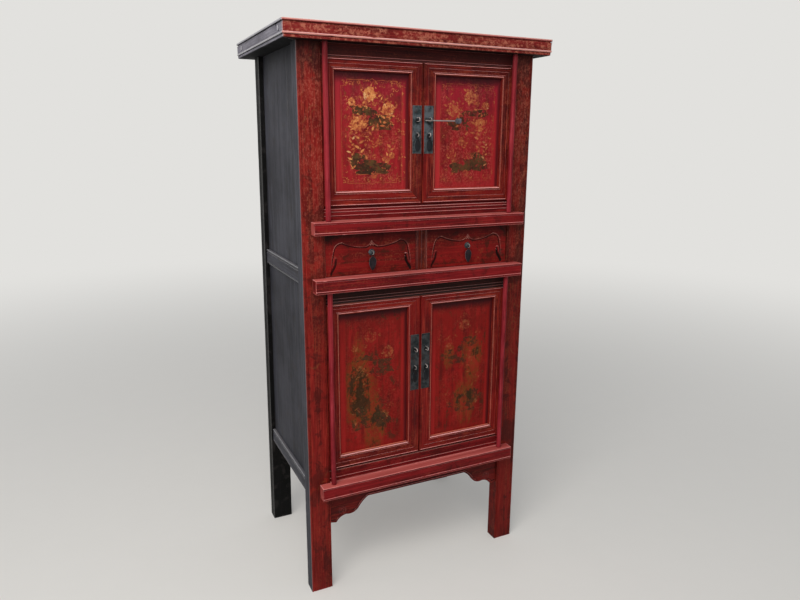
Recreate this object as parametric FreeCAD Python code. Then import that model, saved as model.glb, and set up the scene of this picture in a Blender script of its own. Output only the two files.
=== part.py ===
import FreeCAD, Part
import os

# Tall lacquered cabinet on a stand of four through-posts: a cupboard above, two drawers,
# a cupboard below, and leaf doors that turn on round poles set into the projecting rails.
# Frame: +Z up, front towards -Y, origin on the floor under the middle of the whole object.
# All sizes are in millimetres.

V = FreeCAD.Vector

# ---------------------------------------------------------------- heights, floor upwards
LEG_CLEAR = 366.0            # floor to the underside of the bottom rail
BOTTOM_RAIL_H = 48.0
SILL_H = 45.0                # fascia under the lower doors
LOWER_OPENING_H = 586.0
LOWER_FRIEZE_H = 46.0
MIDDLE_RAIL_H = 45.0
DRAWER_OPENING_H = 141.0
UPPER_RAIL_H = 41.0
LEDGE_H = 43.0               # fascia under the upper doors
UPPER_OPENING_H = 446.0
UPPER_FRIEZE_H = 41.0
CORNICE_H = 52.0

# ---------------------------------------------------------------- widths and depths
BODY_W = 842.0               # outside of the posts, left to right
DEPTH_FOOT = 568.0           # front face of the front post to the back of the back post
DEPTH_TOP = 501.0            # the same, under the cornice: the back posts splay
POST_W = 76.0
POST_D = 50.0
CORNICE_SIDE_LIP = 49.0      # how far the cornice stands out past the posts
CORNICE_FRONT_LIP = 38.0
CORNICE_BACK_LIP = 58.0      # past the back posts at their top
CORNICE_FRONT_D = 68.0       # depth of the front cornice member
CORNICE_SIDE_W = 90.0
CORNICE_BACK_D = 110.0
CORNICE_TENON_L = 22.0
CORNICE_BOARD_T = 14.0
CORNICE_BOARD_SINK = 8.0
CORNICE_BOARD_TONGUE = 8.0

# ---------------------------------------------------------------- joinery
TENON_L = 18.0
TENON_T = 14.0
TENON_SHOULDER = 10.0
TENON_SETBACK = 10.0         # front face of a post to the rail tenon
TOP_TENON_L = 20.0
TOP_TENON_W = 16.0
TOP_TENON_MARGIN = 4.0       # back of the front cornice member to the post tenon in it
STUB_L = 10.0                # short tenons of the thin boards
STUB_T = 8.0

# ---------------------------------------------------------------- front rails and fascias
RAIL_PROJECTION = 36.0
RAIL_BACK_D = 40.0           # how far a front rail reaches in behind the post faces
RAIL_LAP = 44.0              # how far a drawer rail laps over the face of each post
BOTTOM_RAIL_LAP = 37.0
FASCIA_SETBACK = 4.0
FASCIA_FACE_T = 24.0
STOP_LIP = 8.0               # height of the rebate lip that stops a leaf
STOP_GAP = 0.5
MUNTIN_W = 39.0
MUNTIN_SETBACK = 2.0
BEAD = 5.0                   # width of a run moulding
BEAD_RISE = 1.6

# ---------------------------------------------------------------- sides, back and boards
SIDE_PANEL_T = 10.0
SIDE_PANEL_SINK = 16.0
SIDE_BOARD_JOINT = 165.0     # post face to the joint between the two boards of a side
PANEL_TONGUE_IN_POST = 8.0
SIDE_RAIL_H = 51.0
SIDE_RAIL_T = 34.0
SIDE_RAIL_SINK = 7.0
SIDE_RAIL_BED_DROP = 24.0    # top of the drawer bed to the underside of the middle side rail
BACK_RAIL_SINK = 6.0
BACK_RAIL_T = 34.0
BACK_BOARD_SINK = 18.0
BACK_BOARD_T = 10.0
BACK_BOARD_COUNT = 3
FLOOR_T = 16.0
BEARER_W = 25.0
BEARER_H = 22.0

# ---------------------------------------------------------------- apron of the stand
APRON_T = 16.0
APRON_SETBACK = 8.0
APRON_STRIP_H = 42.0
# points of the bracket at each end: (in from the post, below the strip, bow of the stretch)
BRACKET_TOE = (145.0, 0.0, 0.0)
BRACKET_NECK = (106.0, 40.0, 0.06)
BRACKET_SCROLL = (61.0, 52.0, -0.15)
BRACKET_TIP = (23.0, 76.0, 0.13)
BRACKET_HEEL = (0.0, 71.0, 0.0)

# ---------------------------------------------------------------- doors
LEAF_T = 26.0
LEAF_SETBACK = 2.0
LEAF_GAP = 1.5               # above and below a leaf
LEAF_SIDE_GAP = 2.0
MEETING_GAP = 3.0
STILE_OUTER_W = 42.0
STILE_INNER_W = 46.0
TOP_MEMBER_W = 36.0
BOTTOM_MEMBER_W = 47.0
EDGE_BEAD = 3.0
INNER_LIP = 2.0              # narrow sunk lip next to the panel
INNER_LIP_SINK = 3.0
PANEL_T = 7.0
PANEL_SINK = 11.0
PANEL_TONGUE = 8.0
POLE_R = 8.5
POLE_STANDOFF = 15.2         # pole axis in front of the post faces
NECK_W = 9.0
PIVOT_R = 5.5
PIVOT_L = 12.0
PIVOT_CLEAR = 0.08
SHOULDER_GAP = 0.3

# ---------------------------------------------------------------- ironwork
PLATE_W = 33.0
PLATE_EDGE = 3.5             # meeting edge of a leaf to its plate
PLATE_T = 1.6
UPPER_PLATE_BOTTOM = 163.0   # leaf opening's floor to the lower edge of the plate
UPPER_PLATE_H = 151.0
LOWER_PLATE_BOTTOM = 243.0
LOWER_PLATE_H = 205.0
STAPLE_R = 5.0               # inside radius of a staple's eye
STAPLE_T = 1.8
STAPLE_W = 3.2
STAPLE_EMBED = 12.0          # how far the legs go into the wood
LOCK_STANDOFF = 14.0         # plate face to the middle of a lock staple's eye
HANG_STANDOFF = 8.0
UPPER_LOCK_Z = 107.0         # heights of the staples above the plate's lower edge
UPPER_HANG_Z = 59.0
LOWER_LOCK_Z = 152.0
LOWER_HANG_Z = 85.0
BAR_H = 2.6                  # the bar of a pendant that hangs in the eye
BAR_GAP = 0.6
BAR_FROM_PLATE = 5.5
PENDANT_T = 2.6
PENDANT_HEAD_R = 6.5
SLOT_W = 5.0
SLOT_L = 9.0
DROP_HALF_W = 11.0
DROP_L = 42.0
DROP_START = 8.0
POINTED_HALF_W = 12.5
POINTED_L = 56.0
PIN_R = 2.0
PIN_GAP = 0.3                # pin to the floor of the eye it lies in
PIN_L = 112.0
PIN_TAB_L = 21.0
PIN_TAB_H = 16.0
PIN_TAB_T = 2.6
PIN_TIP_X = 2.0              # tip of the withdrawn pin, right of the meeting line
ROSETTE_R = 12.0
ROSETTE_T = 4.0
ROSETTE_RIM_T = 1.2
ROSETTE_BOSS_R = 7.0
ROSETTE_DROP = 67.0          # top of the drawer front to the rosette's middle

# ---------------------------------------------------------------- drawers
DRAWER_GAP = 1.5
DRAWER_FRONT_T = 20.0
DRAWER_FRONT_SETBACK = 3.0
DRAWER_SIDE_T = 10.0
DRAWER_SIDE_INSET = 2.5
DRAWER_DEPTH = 380.0
DRAWER_RUN_GAP = 0.3
DRAWER_TOP_GAP = 15.0
DRAWER_BOTTOM_T = 7.0
DRAWER_BOTTOM_RAISE = 7.0
DRAWER_GROOVE = 4.0
GUIDE_H = 16.0
GUIDE_GAP = 1.0
STOP_STRIP_D = 14.0
FIELD_SINK = 3.0
FIELD_APEX = 29.0            # top of a drawer front down to the middle cusp of its field
FIELD_CUSP_HALF = 22.0
FIELD_DIP = 48.0
FIELD_CROWN = 30.0
FIELD_CROWN_IN = 58.0        # side of the front in to the field's highest part
FIELD_HAUNCH = 57.0
FIELD_HAUNCH_IN = 28.0
FIELD_FOOT_IN = 19.0
CUSP_BOW = -0.12             # bows of its stretches, as shares of their length
DIP_BOW = -0.06
HAUNCH_BOW = 0.2
FOOT_BOW = 0.03

# ---------------------------------------------------------------- levels worked out from them
Z_BOTTOM_RAIL = LEG_CLEAR
Z_SILL = Z_BOTTOM_RAIL + BOTTOM_RAIL_H
Z_LOWER = Z_SILL + SILL_H
Z_LOWER_FRIEZE = Z_LOWER + LOWER_OPENING_H
Z_MIDDLE_RAIL = Z_LOWER_FRIEZE + LOWER_FRIEZE_H
Z_DRAWER = Z_MIDDLE_RAIL + MIDDLE_RAIL_H
Z_UPPER_RAIL = Z_DRAWER + DRAWER_OPENING_H
Z_LEDGE = Z_UPPER_RAIL + UPPER_RAIL_H
Z_UPPER = Z_LEDGE + LEDGE_H
Z_UPPER_FRIEZE = Z_UPPER + UPPER_OPENING_H
Z_CORNICE = Z_UPPER_FRIEZE + UPPER_FRIEZE_H
Z_SIDE_RAIL_MID = Z_DRAWER - SIDE_RAIL_BED_DROP
HEIGHT = Z_CORNICE + CORNICE_H

HALF_BODY = BODY_W / 2
HALF_OPENING = HALF_BODY - POST_W
CORNICE_W = BODY_W + 2 * CORNICE_SIDE_LIP
CORNICE_DEPTH = CORNICE_FRONT_LIP + DEPTH_TOP + CORNICE_BACK_LIP
WHOLE_DEPTH = max(CORNICE_FRONT_LIP + DEPTH_FOOT, CORNICE_DEPTH)
Y_FRONT = CORNICE_FRONT_LIP - WHOLE_DEPTH / 2      # front face of the posts
Y_BEHIND_POST = Y_FRONT + POST_D
Y_LEAF = Y_FRONT + LEAF_SETBACK
Y_LEAF_FLAT = Y_LEAF + BEAD_RISE
Y_RAIL_BACK = Y_FRONT + RAIL_BACK_D
Y_PLATE_FACE = Y_LEAF_FLAT - PLATE_T
POLE_X = HALF_OPENING - POLE_R
POLE_Y = Y_FRONT - POLE_STANDOFF
LEAF_OUTER = HALF_OPENING - LEAF_SIDE_GAP
LEAF_INNER = MEETING_GAP / 2
STAPLE_X = LEAF_INNER + PLATE_EDGE + PLATE_W / 2
PANEL_INNER_X = HALF_BODY - SIDE_PANEL_SINK - SIDE_PANEL_T
SIDE_RAIL_OUTER_X = HALF_BODY - SIDE_RAIL_SINK
SIDE_RAIL_INNER_X = SIDE_RAIL_OUTER_X - SIDE_RAIL_T
DRAWER_INNER = MUNTIN_W / 2 + DRAWER_GAP
DRAWER_OUTER = HALF_OPENING - DRAWER_GAP
BOX_BACK_Y = Y_FRONT + DRAWER_FRONT_SETBACK + DRAWER_FRONT_T + DRAWER_DEPTH

SAME_POINT = 1e-6            # two points closer than this are one
parts = {}


def back_y(z):
    """Back face of the splayed back posts at height z."""
    return Y_FRONT + DEPTH_FOOT + (DEPTH_TOP - DEPTH_FOOT) * z / Z_CORNICE


def box(x0, x1, y0, y1, z0, z1):
    """Box between two corners, given in any order."""
    xs, ys, zs = sorted((x0, x1)), sorted((y0, y1)), sorted((z0, z1))
    size = (xs[1] - xs[0], ys[1] - ys[0], zs[1] - zs[0])
    return Part.makeBox(*size, V(xs[0], ys[0], zs[0]))


def prism(points, direction):
    """Straight-sided prism on a closed outline."""
    return Part.Face(Part.makePolygon(points + points[:1])).extrude(direction)


def along_x(outline, x0, x1):
    """Prism along X on an outline of (y, z) points."""
    lo, hi = min(x0, x1), max(x0, x1)
    return prism([V(lo, y, z) for y, z in outline], V(hi - lo, 0, 0))


def splayed(x0, x1, y_front, sink, z0, z1):
    """Board with an upright front at y_front and a back edge parallel to the splay."""
    outline = [(y_front, z0), (back_y(z0) - sink, z0), (back_y(z1) - sink, z1), (y_front, z1)]
    return along_x(outline, x0, x1)


def leaning(x0, x1, near, far, z0, z1):
    """Board parallel to the splayed back face, from near to far in from it."""
    outline = [(back_y(z0) - near, z0), (back_y(z0) - far, z0),
               (back_y(z1) - far, z1), (back_y(z1) - near, z1)]
    return along_x(outline, x0, x1)


def wire_of(steps):
    """Closed wire from a start point and a list of steps: ("line", p) or ("arc", mid, p)."""
    here = steps[0]
    edges = []
    for step in steps[1:] + [("line", steps[0])]:
        if here.distanceToPoint(step[-1]) < SAME_POINT:
            continue
        if step[0] == "line":
            edges.append(Part.LineSegment(here, step[1]).toShape())
        else:
            edges.append(Part.Arc(here, step[1], step[2]).toShape())
        here = step[-1]
    return Part.Wire(edges)


def outline_solid(steps, direction):
    """Solid extruded from a wire of lines and arcs."""
    return Part.Face(wire_of(steps)).extrude(direction)


def bowed(start, end, bow):
    """Step from start to end in an XZ plane, an arc that bows by a share of its length."""
    if bow == 0:
        return ("line", end)
    way = end - start
    return ("arc", (start + end) * 0.5 + V(-way.z, 0, way.x) * bow, end)


def symmetric_outline(x_mid, y, half):
    """Closed steps mirrored about x_mid from (across, z, bow) points down the right half."""
    right = [V(x_mid + across, y, z) for across, z, bow in half]
    left = [V(x_mid - across, y, z) for across, z, bow in half]
    bows = [bow for across, z, bow in half]
    steps = [right[0]]
    for i in range(1, len(half)):
        steps.append(bowed(right[i - 1], right[i], bows[i]))
    steps.append(("line", left[-1]))
    for i in range(len(half) - 1, 0, -1):
        steps.append(bowed(left[i], left[i - 1], bows[i]))
    return steps


# ---------------------------------------------------------------- posts
def make_post(side, is_front):
    """One through-post with a tenon on top."""
    x0, x1 = side * HALF_OPENING, side * HALF_BODY
    if is_front:
        post = box(x0, x1, Y_FRONT, Y_BEHIND_POST, 0, Z_CORNICE)
        tenon_back = Y_FRONT - CORNICE_FRONT_LIP + CORNICE_FRONT_D - TOP_TENON_MARGIN
    else:
        post = leaning(x0, x1, POST_D, 0, 0, Z_CORNICE)
        tenon_back = back_y(Z_CORNICE) - (POST_D - TOP_TENON_W) / 2
    x_mid, half = (x0 + x1) / 2, TOP_TENON_W / 2
    tenon = box(x_mid - half, x_mid + half, tenon_back - TOP_TENON_W, tenon_back,
                Z_CORNICE, Z_CORNICE + TOP_TENON_L)
    return post.fuse(tenon).removeSplitter()


# ---------------------------------------------------------------- moulded front rails
def rail_outline(z0, height):
    """Front moulding of a projecting rail: fillet, groove, flat, bead, quirk and lip."""
    y = Y_FRONT - RAIL_PROJECTION
    z1 = z0 + height
    low = z0 + BEAD
    high = z1 - BEAD
    quirk = BEAD_RISE
    return [V(0, Y_FRONT, z0), ("line", V(0, y + quirk, z0)), ("line", V(0, y + quirk, low)),
            ("arc", V(0, y, low + BEAD / 2), V(0, y + quirk, low + BEAD)),
            ("line", V(0, y + quirk, high - quirk)), ("line", V(0, y + 2 * quirk, high - quirk)),
            ("line", V(0, y + 2 * quirk, high)), ("line", V(0, y, high)),
            ("line", V(0, y, z1)), ("line", V(0, Y_FRONT, z1))]


def make_front_rail(z0, height, lap):
    """Rail tenoned between the posts, with a moulded front that laps over them."""
    reach = HALF_OPENING + lap
    front = outline_solid(rail_outline(z0, height), V(2 * reach, 0, 0))
    front.translate(V(-reach, 0, 0))
    inner = box(-HALF_OPENING, HALF_OPENING, Y_FRONT, Y_RAIL_BACK, z0, z0 + height)
    y0 = Y_FRONT + TENON_SETBACK
    tenon = box(-HALF_OPENING - TENON_L, HALF_OPENING + TENON_L, y0, y0 + TENON_T,
                z0 + TENON_SHOULDER, z0 + height - TENON_SHOULDER)
    return front.fuse([inner, tenon]).removeSplitter()


def make_fascia(z0, height, lip_above, beads):
    """Board between the posts, with run beads on its face and a rebate lip behind the leaves."""
    y, z1 = Y_FRONT + FASCIA_SETBACK, z0 + height
    flat = y + BEAD_RISE
    steps = [V(0, Y_RAIL_BACK, z0), ("line", V(0, flat, z0))]
    for low in sorted(beads):
        steps += [("line", V(0, flat, z0 + low)),
                  ("arc", V(0, y, z0 + low + BEAD / 2), V(0, flat, z0 + low + BEAD))]
    steps += [("line", V(0, flat, z1)), ("line", V(0, Y_RAIL_BACK, z1))]
    board = outline_solid(steps, V(BODY_W - 2 * POST_W, 0, 0))
    board.translate(V(-HALF_OPENING, 0, 0))
    lip_z0 = z1 if lip_above else z0 - STOP_LIP
    lip = box(-HALF_OPENING, HALF_OPENING, Y_LEAF + LEAF_T + STOP_GAP, Y_RAIL_BACK,
              lip_z0, lip_z0 + STOP_LIP)
    y0 = Y_FRONT + FASCIA_SETBACK + (FASCIA_FACE_T - STUB_T) / 2
    stub = box(-HALF_OPENING - STUB_L, HALF_OPENING + STUB_L, y0, y0 + STUB_T,
               z0 + TENON_SHOULDER, z1 - TENON_SHOULDER)
    return board.fuse([lip, stub]).removeSplitter()


# ---------------------------------------------------------------- cornice
def cornice_outline(depth):
    """(d, z) steps of the cornice moulding: d runs inwards from the outer face."""
    top, low, quirk = HEIGHT, Z_CORNICE, BEAD_RISE
    lip_top, bead_low = low + 1.6 * BEAD, low + 2 * BEAD
    bead_top, fillet_low = low + 3.3 * BEAD, top - 1.4 * BEAD
    return [(depth, low), (3 * quirk, low), (2 * quirk, low + quirk), (2 * quirk, lip_top),
            (3 * quirk, lip_top), (3 * quirk, bead_low),
            ("arc", (0, (bead_low + bead_top) / 2), (quirk, bead_top)),
            (quirk, fillet_low - quirk), (2 * quirk, fillet_low - quirk),
            (2 * quirk, fillet_low), (0, fillet_low), (0, top), (depth, top)]


def cornice_member(depth, origin, inward, run):
    """Cornice member: the moulding swept along run, its section reaching inward."""
    def at(d, z):
        return origin + inward * d + V(0, 0, z)
    steps = []
    for item in cornice_outline(depth):
        if item[0] == "arc":
            steps.append(("arc", at(*item[1]), at(*item[2])))
        else:
            steps.append(("line", at(*item)))
    steps[0] = steps[0][1]
    return outline_solid(steps, run)


def cornice_returns(half, y0):
    """Solid as deep as the cornice, with its moulding on both sides, to shape member ends."""
    run = V(0, CORNICE_DEPTH, 0)
    halves = [cornice_member(half, V(side * half, y0, 0), V(-side, 0, 0), run)
              for side in (-1, 1)]
    return halves[0].fuse(halves[1]).removeSplitter()


def make_cornice():
    """Four cornice members, tenoned at the corners, round a sunk top board."""
    y0 = Y_FRONT - CORNICE_FRONT_LIP
    y1 = y0 + CORNICE_DEPTH
    half = CORNICE_W / 2
    y_in, y_out = y0 + CORNICE_FRONT_D, y1 - CORNICE_BACK_D
    inner_x = half - CORNICE_SIDE_W
    top = HEIGHT - CORNICE_BOARD_SINK
    tongue = CORNICE_BOARD_TONGUE
    board = box(-inner_x - tongue, inner_x + tongue, y_in - tongue, y_out + tongue,
                top - CORNICE_BOARD_T, top)
    front = cornice_member(CORNICE_FRONT_D, V(-half, y0, 0), V(0, 1, 0), V(CORNICE_W, 0, 0))
    back = cornice_member(CORNICE_BACK_D, V(-half, y1, 0), V(0, -1, 0), V(CORNICE_W, 0, 0))
    returns = cornice_returns(half, y0)
    front, back = front.common(returns).cut(board), back.common(returns).cut(board)
    x_mid, z_mid = half - CORNICE_SIDE_W / 2, HEIGHT - CORNICE_H / 2
    for name, side in (("left", -1), ("right", 1)):
        end = cornice_member(CORNICE_SIDE_W, V(side * half, y_in, 0), V(-side, 0, 0),
                             V(0, y_out - y_in, 0))
        tenon = box(side * (x_mid - TENON_T), side * (x_mid + TENON_T),
                    y_in - CORNICE_TENON_L, y_out + CORNICE_TENON_L,
                    z_mid - TENON_T / 2, z_mid + TENON_T / 2)
        end = end.cut(board).fuse(tenon).removeSplitter()
        front, back = front.cut(end), back.cut(end)
        parts["cornice_" + name] = end
    parts["cornice_board"] = board
    parts["cornice_front"] = front
    parts["cornice_back"] = back


# ---------------------------------------------------------------- sides and back
def make_side_rail(side, z0):
    """Rail between a front and a back post, tenoned into both, with a bead on its top edge."""
    x0, x1 = side * SIDE_RAIL_INNER_X, side * SIDE_RAIL_OUTER_X
    z1 = z0 + SIDE_RAIL_H
    rail = splayed(x0, x1, Y_BEHIND_POST, POST_D, z0, z1)
    groove = box(x1, x1 - side * BEAD_RISE, Y_BEHIND_POST, back_y(0), z1 - 2 * BEAD, z1 - BEAD)
    x_mid = side * (PANEL_INNER_X + SIDE_PANEL_T / 2)
    half = TENON_T / 2
    tenon = splayed(x_mid - half, x_mid + half, Y_BEHIND_POST - TENON_L, POST_D - TENON_L,
                    z0 + TENON_SHOULDER, z1 - TENON_SHOULDER)
    return rail.cut(groove).fuse(tenon).removeSplitter()


def make_side_panel(side, z0, z1):
    """Two upright boards, edge to edge, in grooves in the posts and rails."""
    tongue, joint = PANEL_TONGUE_IN_POST, Y_FRONT + SIDE_BOARD_JOINT
    x0, x1 = side * PANEL_INNER_X, side * (PANEL_INNER_X + SIDE_PANEL_T)
    return [box(x0, x1, Y_BEHIND_POST - tongue, joint, z0, z1),
            splayed(x0, x1, joint, POST_D - tongue, z0, z1)]


def make_back_rail(z0):
    """Rail between the back posts."""
    z1 = z0 + SIDE_RAIL_H
    far = BACK_RAIL_SINK + BACK_RAIL_T
    rail = leaning(-HALF_OPENING, HALF_OPENING, far, BACK_RAIL_SINK, z0, z1)
    mid = BACK_RAIL_SINK + BACK_RAIL_T / 2
    reach = HALF_OPENING + TENON_L
    tenon = leaning(-reach, reach, mid + TENON_T / 2, mid - TENON_T / 2,
                    z0 + TENON_SHOULDER, z1 - TENON_SHOULDER)
    return rail.fuse(tenon).removeSplitter()


def make_back_boards(z0, z1):
    """Upright boards, edge to edge, in grooves in the back posts and rails."""
    reach = HALF_OPENING + PANEL_TONGUE_IN_POST
    width = 2 * reach / BACK_BOARD_COUNT
    far = BACK_BOARD_SINK + BACK_BOARD_T
    return [leaning(-reach + i * width, -reach + (i + 1) * width, far, BACK_BOARD_SINK, z0, z1)
            for i in range(BACK_BOARD_COUNT)]


def make_floor(z_top, half_width, sink):
    """Cupboard floor from the front rail or fascia to the back."""
    return splayed(-half_width, half_width, Y_RAIL_BACK, sink, z_top - FLOOR_T, z_top)


# ---------------------------------------------------------------- apron
def make_apron():
    """Shaped apron with a cusped bracket at each end."""
    y = Y_FRONT + APRON_SETBACK
    top, strip = LEG_CLEAR, LEG_CLEAR - APRON_STRIP_H
    half = [(0, strip, 0)]
    for reach, fall, bow in (BRACKET_TOE, BRACKET_NECK, BRACKET_SCROLL, BRACKET_TIP, BRACKET_HEEL):
        half.append((HALF_OPENING - reach, strip - fall, bow))
    half.append((HALF_OPENING, top, 0))
    board = outline_solid(symmetric_outline(0, y, half), V(0, APRON_T, 0))
    y_stub = y + (APRON_T - STUB_T) / 2
    stub = box(-HALF_OPENING - STUB_L, HALF_OPENING + STUB_L, y_stub, y_stub + STUB_T,
               strip + TENON_SHOULDER, top - TENON_SHOULDER)
    return board.fuse(stub).removeSplitter()


# ---------------------------------------------------------------- doors
def member_section(origin, inward, width, seat, edge_bead):
    """Section of a leaf member across its width: optional pole seat, beads, flat and lip."""
    def at(across, depth):
        return origin + inward * across + V(0, depth, 0)
    inner = width - INNER_LIP
    return [at(0, LEAF_T), ("line", at(0, BEAD_RISE)), ("line", at(seat, BEAD_RISE)),
            ("arc", at(seat + edge_bead / 2, 0), at(seat + edge_bead, BEAD_RISE)),
            ("line", at(inner - BEAD, BEAD_RISE)),
            ("arc", at(inner - BEAD / 2, 0), at(inner, BEAD_RISE)),
            ("line", at(inner, INNER_LIP_SINK)), ("line", at(width, INNER_LIP_SINK)),
            ("line", at(width, LEAF_T)), ("line", at(0, LEAF_T))]


class Leaf:
    """One door leaf: pole, mitred frame, sunk panel, lock plate and hanging pull."""

    def __init__(self, name, side, z_open, open_h, pole_z0, pole_z1, plate):
        self.name = name
        self.side = side
        self.z0, self.z1 = z_open + LEAF_GAP, z_open + open_h - LEAF_GAP
        self.pole_z0, self.pole_z1 = pole_z0, pole_z1
        bottom, self.plate_h, lock, hang = plate
        self.plate_z = z_open + bottom
        self.lock_z, self.hang_z = self.plate_z + lock, self.plate_z + hang

    def hole(self):
        """(outer x, inner x, low z, high z) of the opening in the frame."""
        return (self.side * (LEAF_OUTER - STILE_OUTER_W), self.side * (LEAF_INNER + STILE_INNER_W),
                self.z0 + BOTTOM_MEMBER_W, self.z1 - TOP_MEMBER_W)

    def member(self, corners, origin, inward, run, width, seat, edge_bead):
        """A run of the section, cut to its mitres by the outline of its corners."""
        wire = member_section(origin, inward, width, seat, edge_bead)
        bar = outline_solid(wire, run)
        mitre = prism([V(x, Y_LEAF - 1, z) for x, z in corners], V(0, LEAF_T + 2, 0))
        return bar.common(mitre)

    def frame(self, panel):
        """Two stiles and two rails, mitred, grooved for the panel."""
        xo, xi = self.side * LEAF_OUTER, self.side * LEAF_INNER
        ho, hi, hz0, hz1 = self.hole()
        up, span = V(0, 0, self.z1 - self.z0), V(xi - xo, 0, 0)
        towards = V(-self.side, 0, 0)
        seat = POLE_R + NECK_W / 2 + 1
        outer = self.member([(xo, self.z0), (ho, hz0), (ho, hz1), (xo, self.z1)],
                            V(xo, Y_LEAF, self.z0), towards, up, STILE_OUTER_W, seat, BEAD)
        inner = self.member([(xi, self.z0), (hi, hz0), (hi, hz1), (xi, self.z1)],
                            V(xi, Y_LEAF, self.z0), towards * -1, up, STILE_INNER_W, 0, EDGE_BEAD)
        low = self.member([(xo, self.z0), (xi, self.z0), (hi, hz0), (ho, hz0)],
                          V(xo, Y_LEAF, self.z0), V(0, 0, 1), span, BOTTOM_MEMBER_W, 0, BEAD)
        high = self.member([(xo, self.z1), (xi, self.z1), (hi, hz1), (ho, hz1)],
                           V(xo, Y_LEAF, self.z1), V(0, 0, -1), span, TOP_MEMBER_W, 0, BEAD)
        return [bar.cut(panel) for bar in (outer, inner, low, high)]

    def panel(self):
        """Sunk board with its tongues."""
        ho, hi, hz0, hz1 = self.hole()
        grow, y = PANEL_TONGUE, Y_LEAF + PANEL_SINK
        return box(ho + self.side * grow, hi - self.side * grow, y, y + PANEL_T,
                   hz0 - grow, hz1 + grow)

    def pole(self):
        """Round pivot pole with a neck glued to the leaf and a pin at each end."""
        x = self.side * POLE_X
        low, high = self.pole_z0 + SHOULDER_GAP, self.pole_z1 - SHOULDER_GAP
        rod = Part.makeCylinder(POLE_R, high - low, V(x, POLE_Y, low))
        pin = Part.makeCylinder(PIVOT_R, high - low + 2 * PIVOT_L, V(x, POLE_Y, low - PIVOT_L))
        neck = box(x - NECK_W / 2, x + NECK_W / 2, POLE_Y, Y_LEAF_FLAT, self.z0, self.z1)
        return rod.fuse([pin, neck]).removeSplitter()

    def socket(self, z):
        """Hole for a pivot pin, centred on height z."""
        reach = PIVOT_L + SHOULDER_GAP
        return Part.makeCylinder(PIVOT_R + PIVOT_CLEAR, 2 * reach,
                                 V(self.side * POLE_X, POLE_Y, z - reach))

    def ironwork(self):
        """Lock plate and its two staples."""
        x0 = self.side * (LEAF_INNER + PLATE_EDGE)
        x1 = x0 + self.side * PLATE_W
        plate = box(x0, x1, Y_PLATE_FACE, Y_LEAF_FLAT, self.plate_z, self.plate_z + self.plate_h)
        staples = [staple(self.side * STAPLE_X, Y_PLATE_FACE, self.lock_z, LOCK_STANDOFF),
                   staple(self.side * STAPLE_X, Y_PLATE_FACE, self.hang_z, HANG_STANDOFF)]
        return plate, staples

    def build(self):
        """Add the leaf's nodes to the part."""
        panel = self.panel()
        pole = self.pole()
        plate, staples = self.ironwork()
        frame = [bar.cut(pole) for bar in self.frame(panel)]
        for item in staples:
            frame = [bar.cut(item) for bar in frame]
            plate = plate.cut(item)
        parts[self.name + "_frame"] = frame
        parts[self.name + "_panel"] = panel
        parts[self.name + "_pole"] = pole
        parts[self.name + "_plate"] = [plate] + staples
        parts[self.name + "_pull"] = pendant(self.side * STAPLE_X, Y_PLATE_FACE, self.hang_z,
                                             rounded_drop)


# ---------------------------------------------------------------- ironwork
def staple(x, face_y, z, standoff):
    """Flat-wire staple: a round eye in front of the face, its two legs driven into the wood."""
    x0, outer = x - STAPLE_W / 2, STAPLE_R + STAPLE_T
    y, y_end = face_y - standoff, face_y + STAPLE_EMBED

    def band(radius):
        steps = [V(x0, y_end, z - radius), ("line", V(x0, y, z - radius)),
                 ("arc", V(x0, y - radius, z), V(x0, y, z + radius)),
                 ("line", V(x0, y_end, z + radius))]
        return outline_solid(steps, V(STAPLE_W, 0, 0))
    return band(outer).cut(band(STAPLE_R))


def rounded_drop(x, y, z):
    """Oval leaf of a door pull below its head."""
    half = DROP_L / 2
    ellipse = Part.Ellipse(V(x, y, z - DROP_START), V(x + DROP_HALF_W, y, z - DROP_START - half),
                           V(x, y, z - DROP_START - half))
    return Part.Face(Part.Wire(ellipse.toShape())).extrude(V(0, PENDANT_T, 0))


def pointed_drop(x, y, z):
    """Willow leaf of a drawer pull below its head."""
    top, tip = z - DROP_START + 1, z - POINTED_L

    def at(across, down):
        return V(x + across * POINTED_HALF_W, y, top + (tip - top) * down)
    steps = [at(-0.35, 0), ("arc", at(-1, 0.27), at(-0.72, 0.56)), ("line", at(0, 1)),
             ("line", at(0.72, 0.56)), ("arc", at(1, 0.27), at(0.35, 0))]
    return outline_solid(steps, V(0, PENDANT_T, 0))


def pendant_axis(face_y, z_eye):
    """(y, z) of the bar that hangs in the eye of a staple."""
    return face_y - BAR_FROM_PLATE, z_eye - STAPLE_R + BAR_GAP + BAR_H / 2


def pendant(x, face_y, z_eye, drop):
    """Hanging pull: head with a slot for the staple, and a leaf-shaped drop."""
    y_bar, z = pendant_axis(face_y, z_eye)
    y = y_bar - PENDANT_T / 2
    centre = z + BAR_H / 2 - PENDANT_HEAD_R
    head = Part.makeCylinder(PENDANT_HEAD_R, PENDANT_T, V(x, y, centre), V(0, 1, 0))
    slot = box(x - SLOT_W / 2, x + SLOT_W / 2, y - 1, y + PENDANT_T + 1,
               z - BAR_H / 2 - SLOT_L, z - BAR_H / 2)
    return head.fuse(drop(x, y, z)).cut(slot).removeSplitter()


def make_lock_pin(z_eye):
    """Sliding pin with a flat tab, withdrawn into the right-hand leaf's staple."""
    y = Y_PLATE_FACE - LOCK_STANDOFF
    z = z_eye - STAPLE_R + PIN_GAP + PIN_R
    rod = Part.makeCylinder(PIN_R, PIN_L + 1, V(PIN_TIP_X, y, z), V(1, 0, 0))
    tab_x = PIN_TIP_X + PIN_L
    tab = box(tab_x, tab_x + PIN_TAB_L, y - PIN_TAB_T / 2, y + PIN_TAB_T / 2,
              z - PIN_TAB_H / 2, z + PIN_TAB_H / 2)
    return rod.fuse(tab).removeSplitter()


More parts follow.
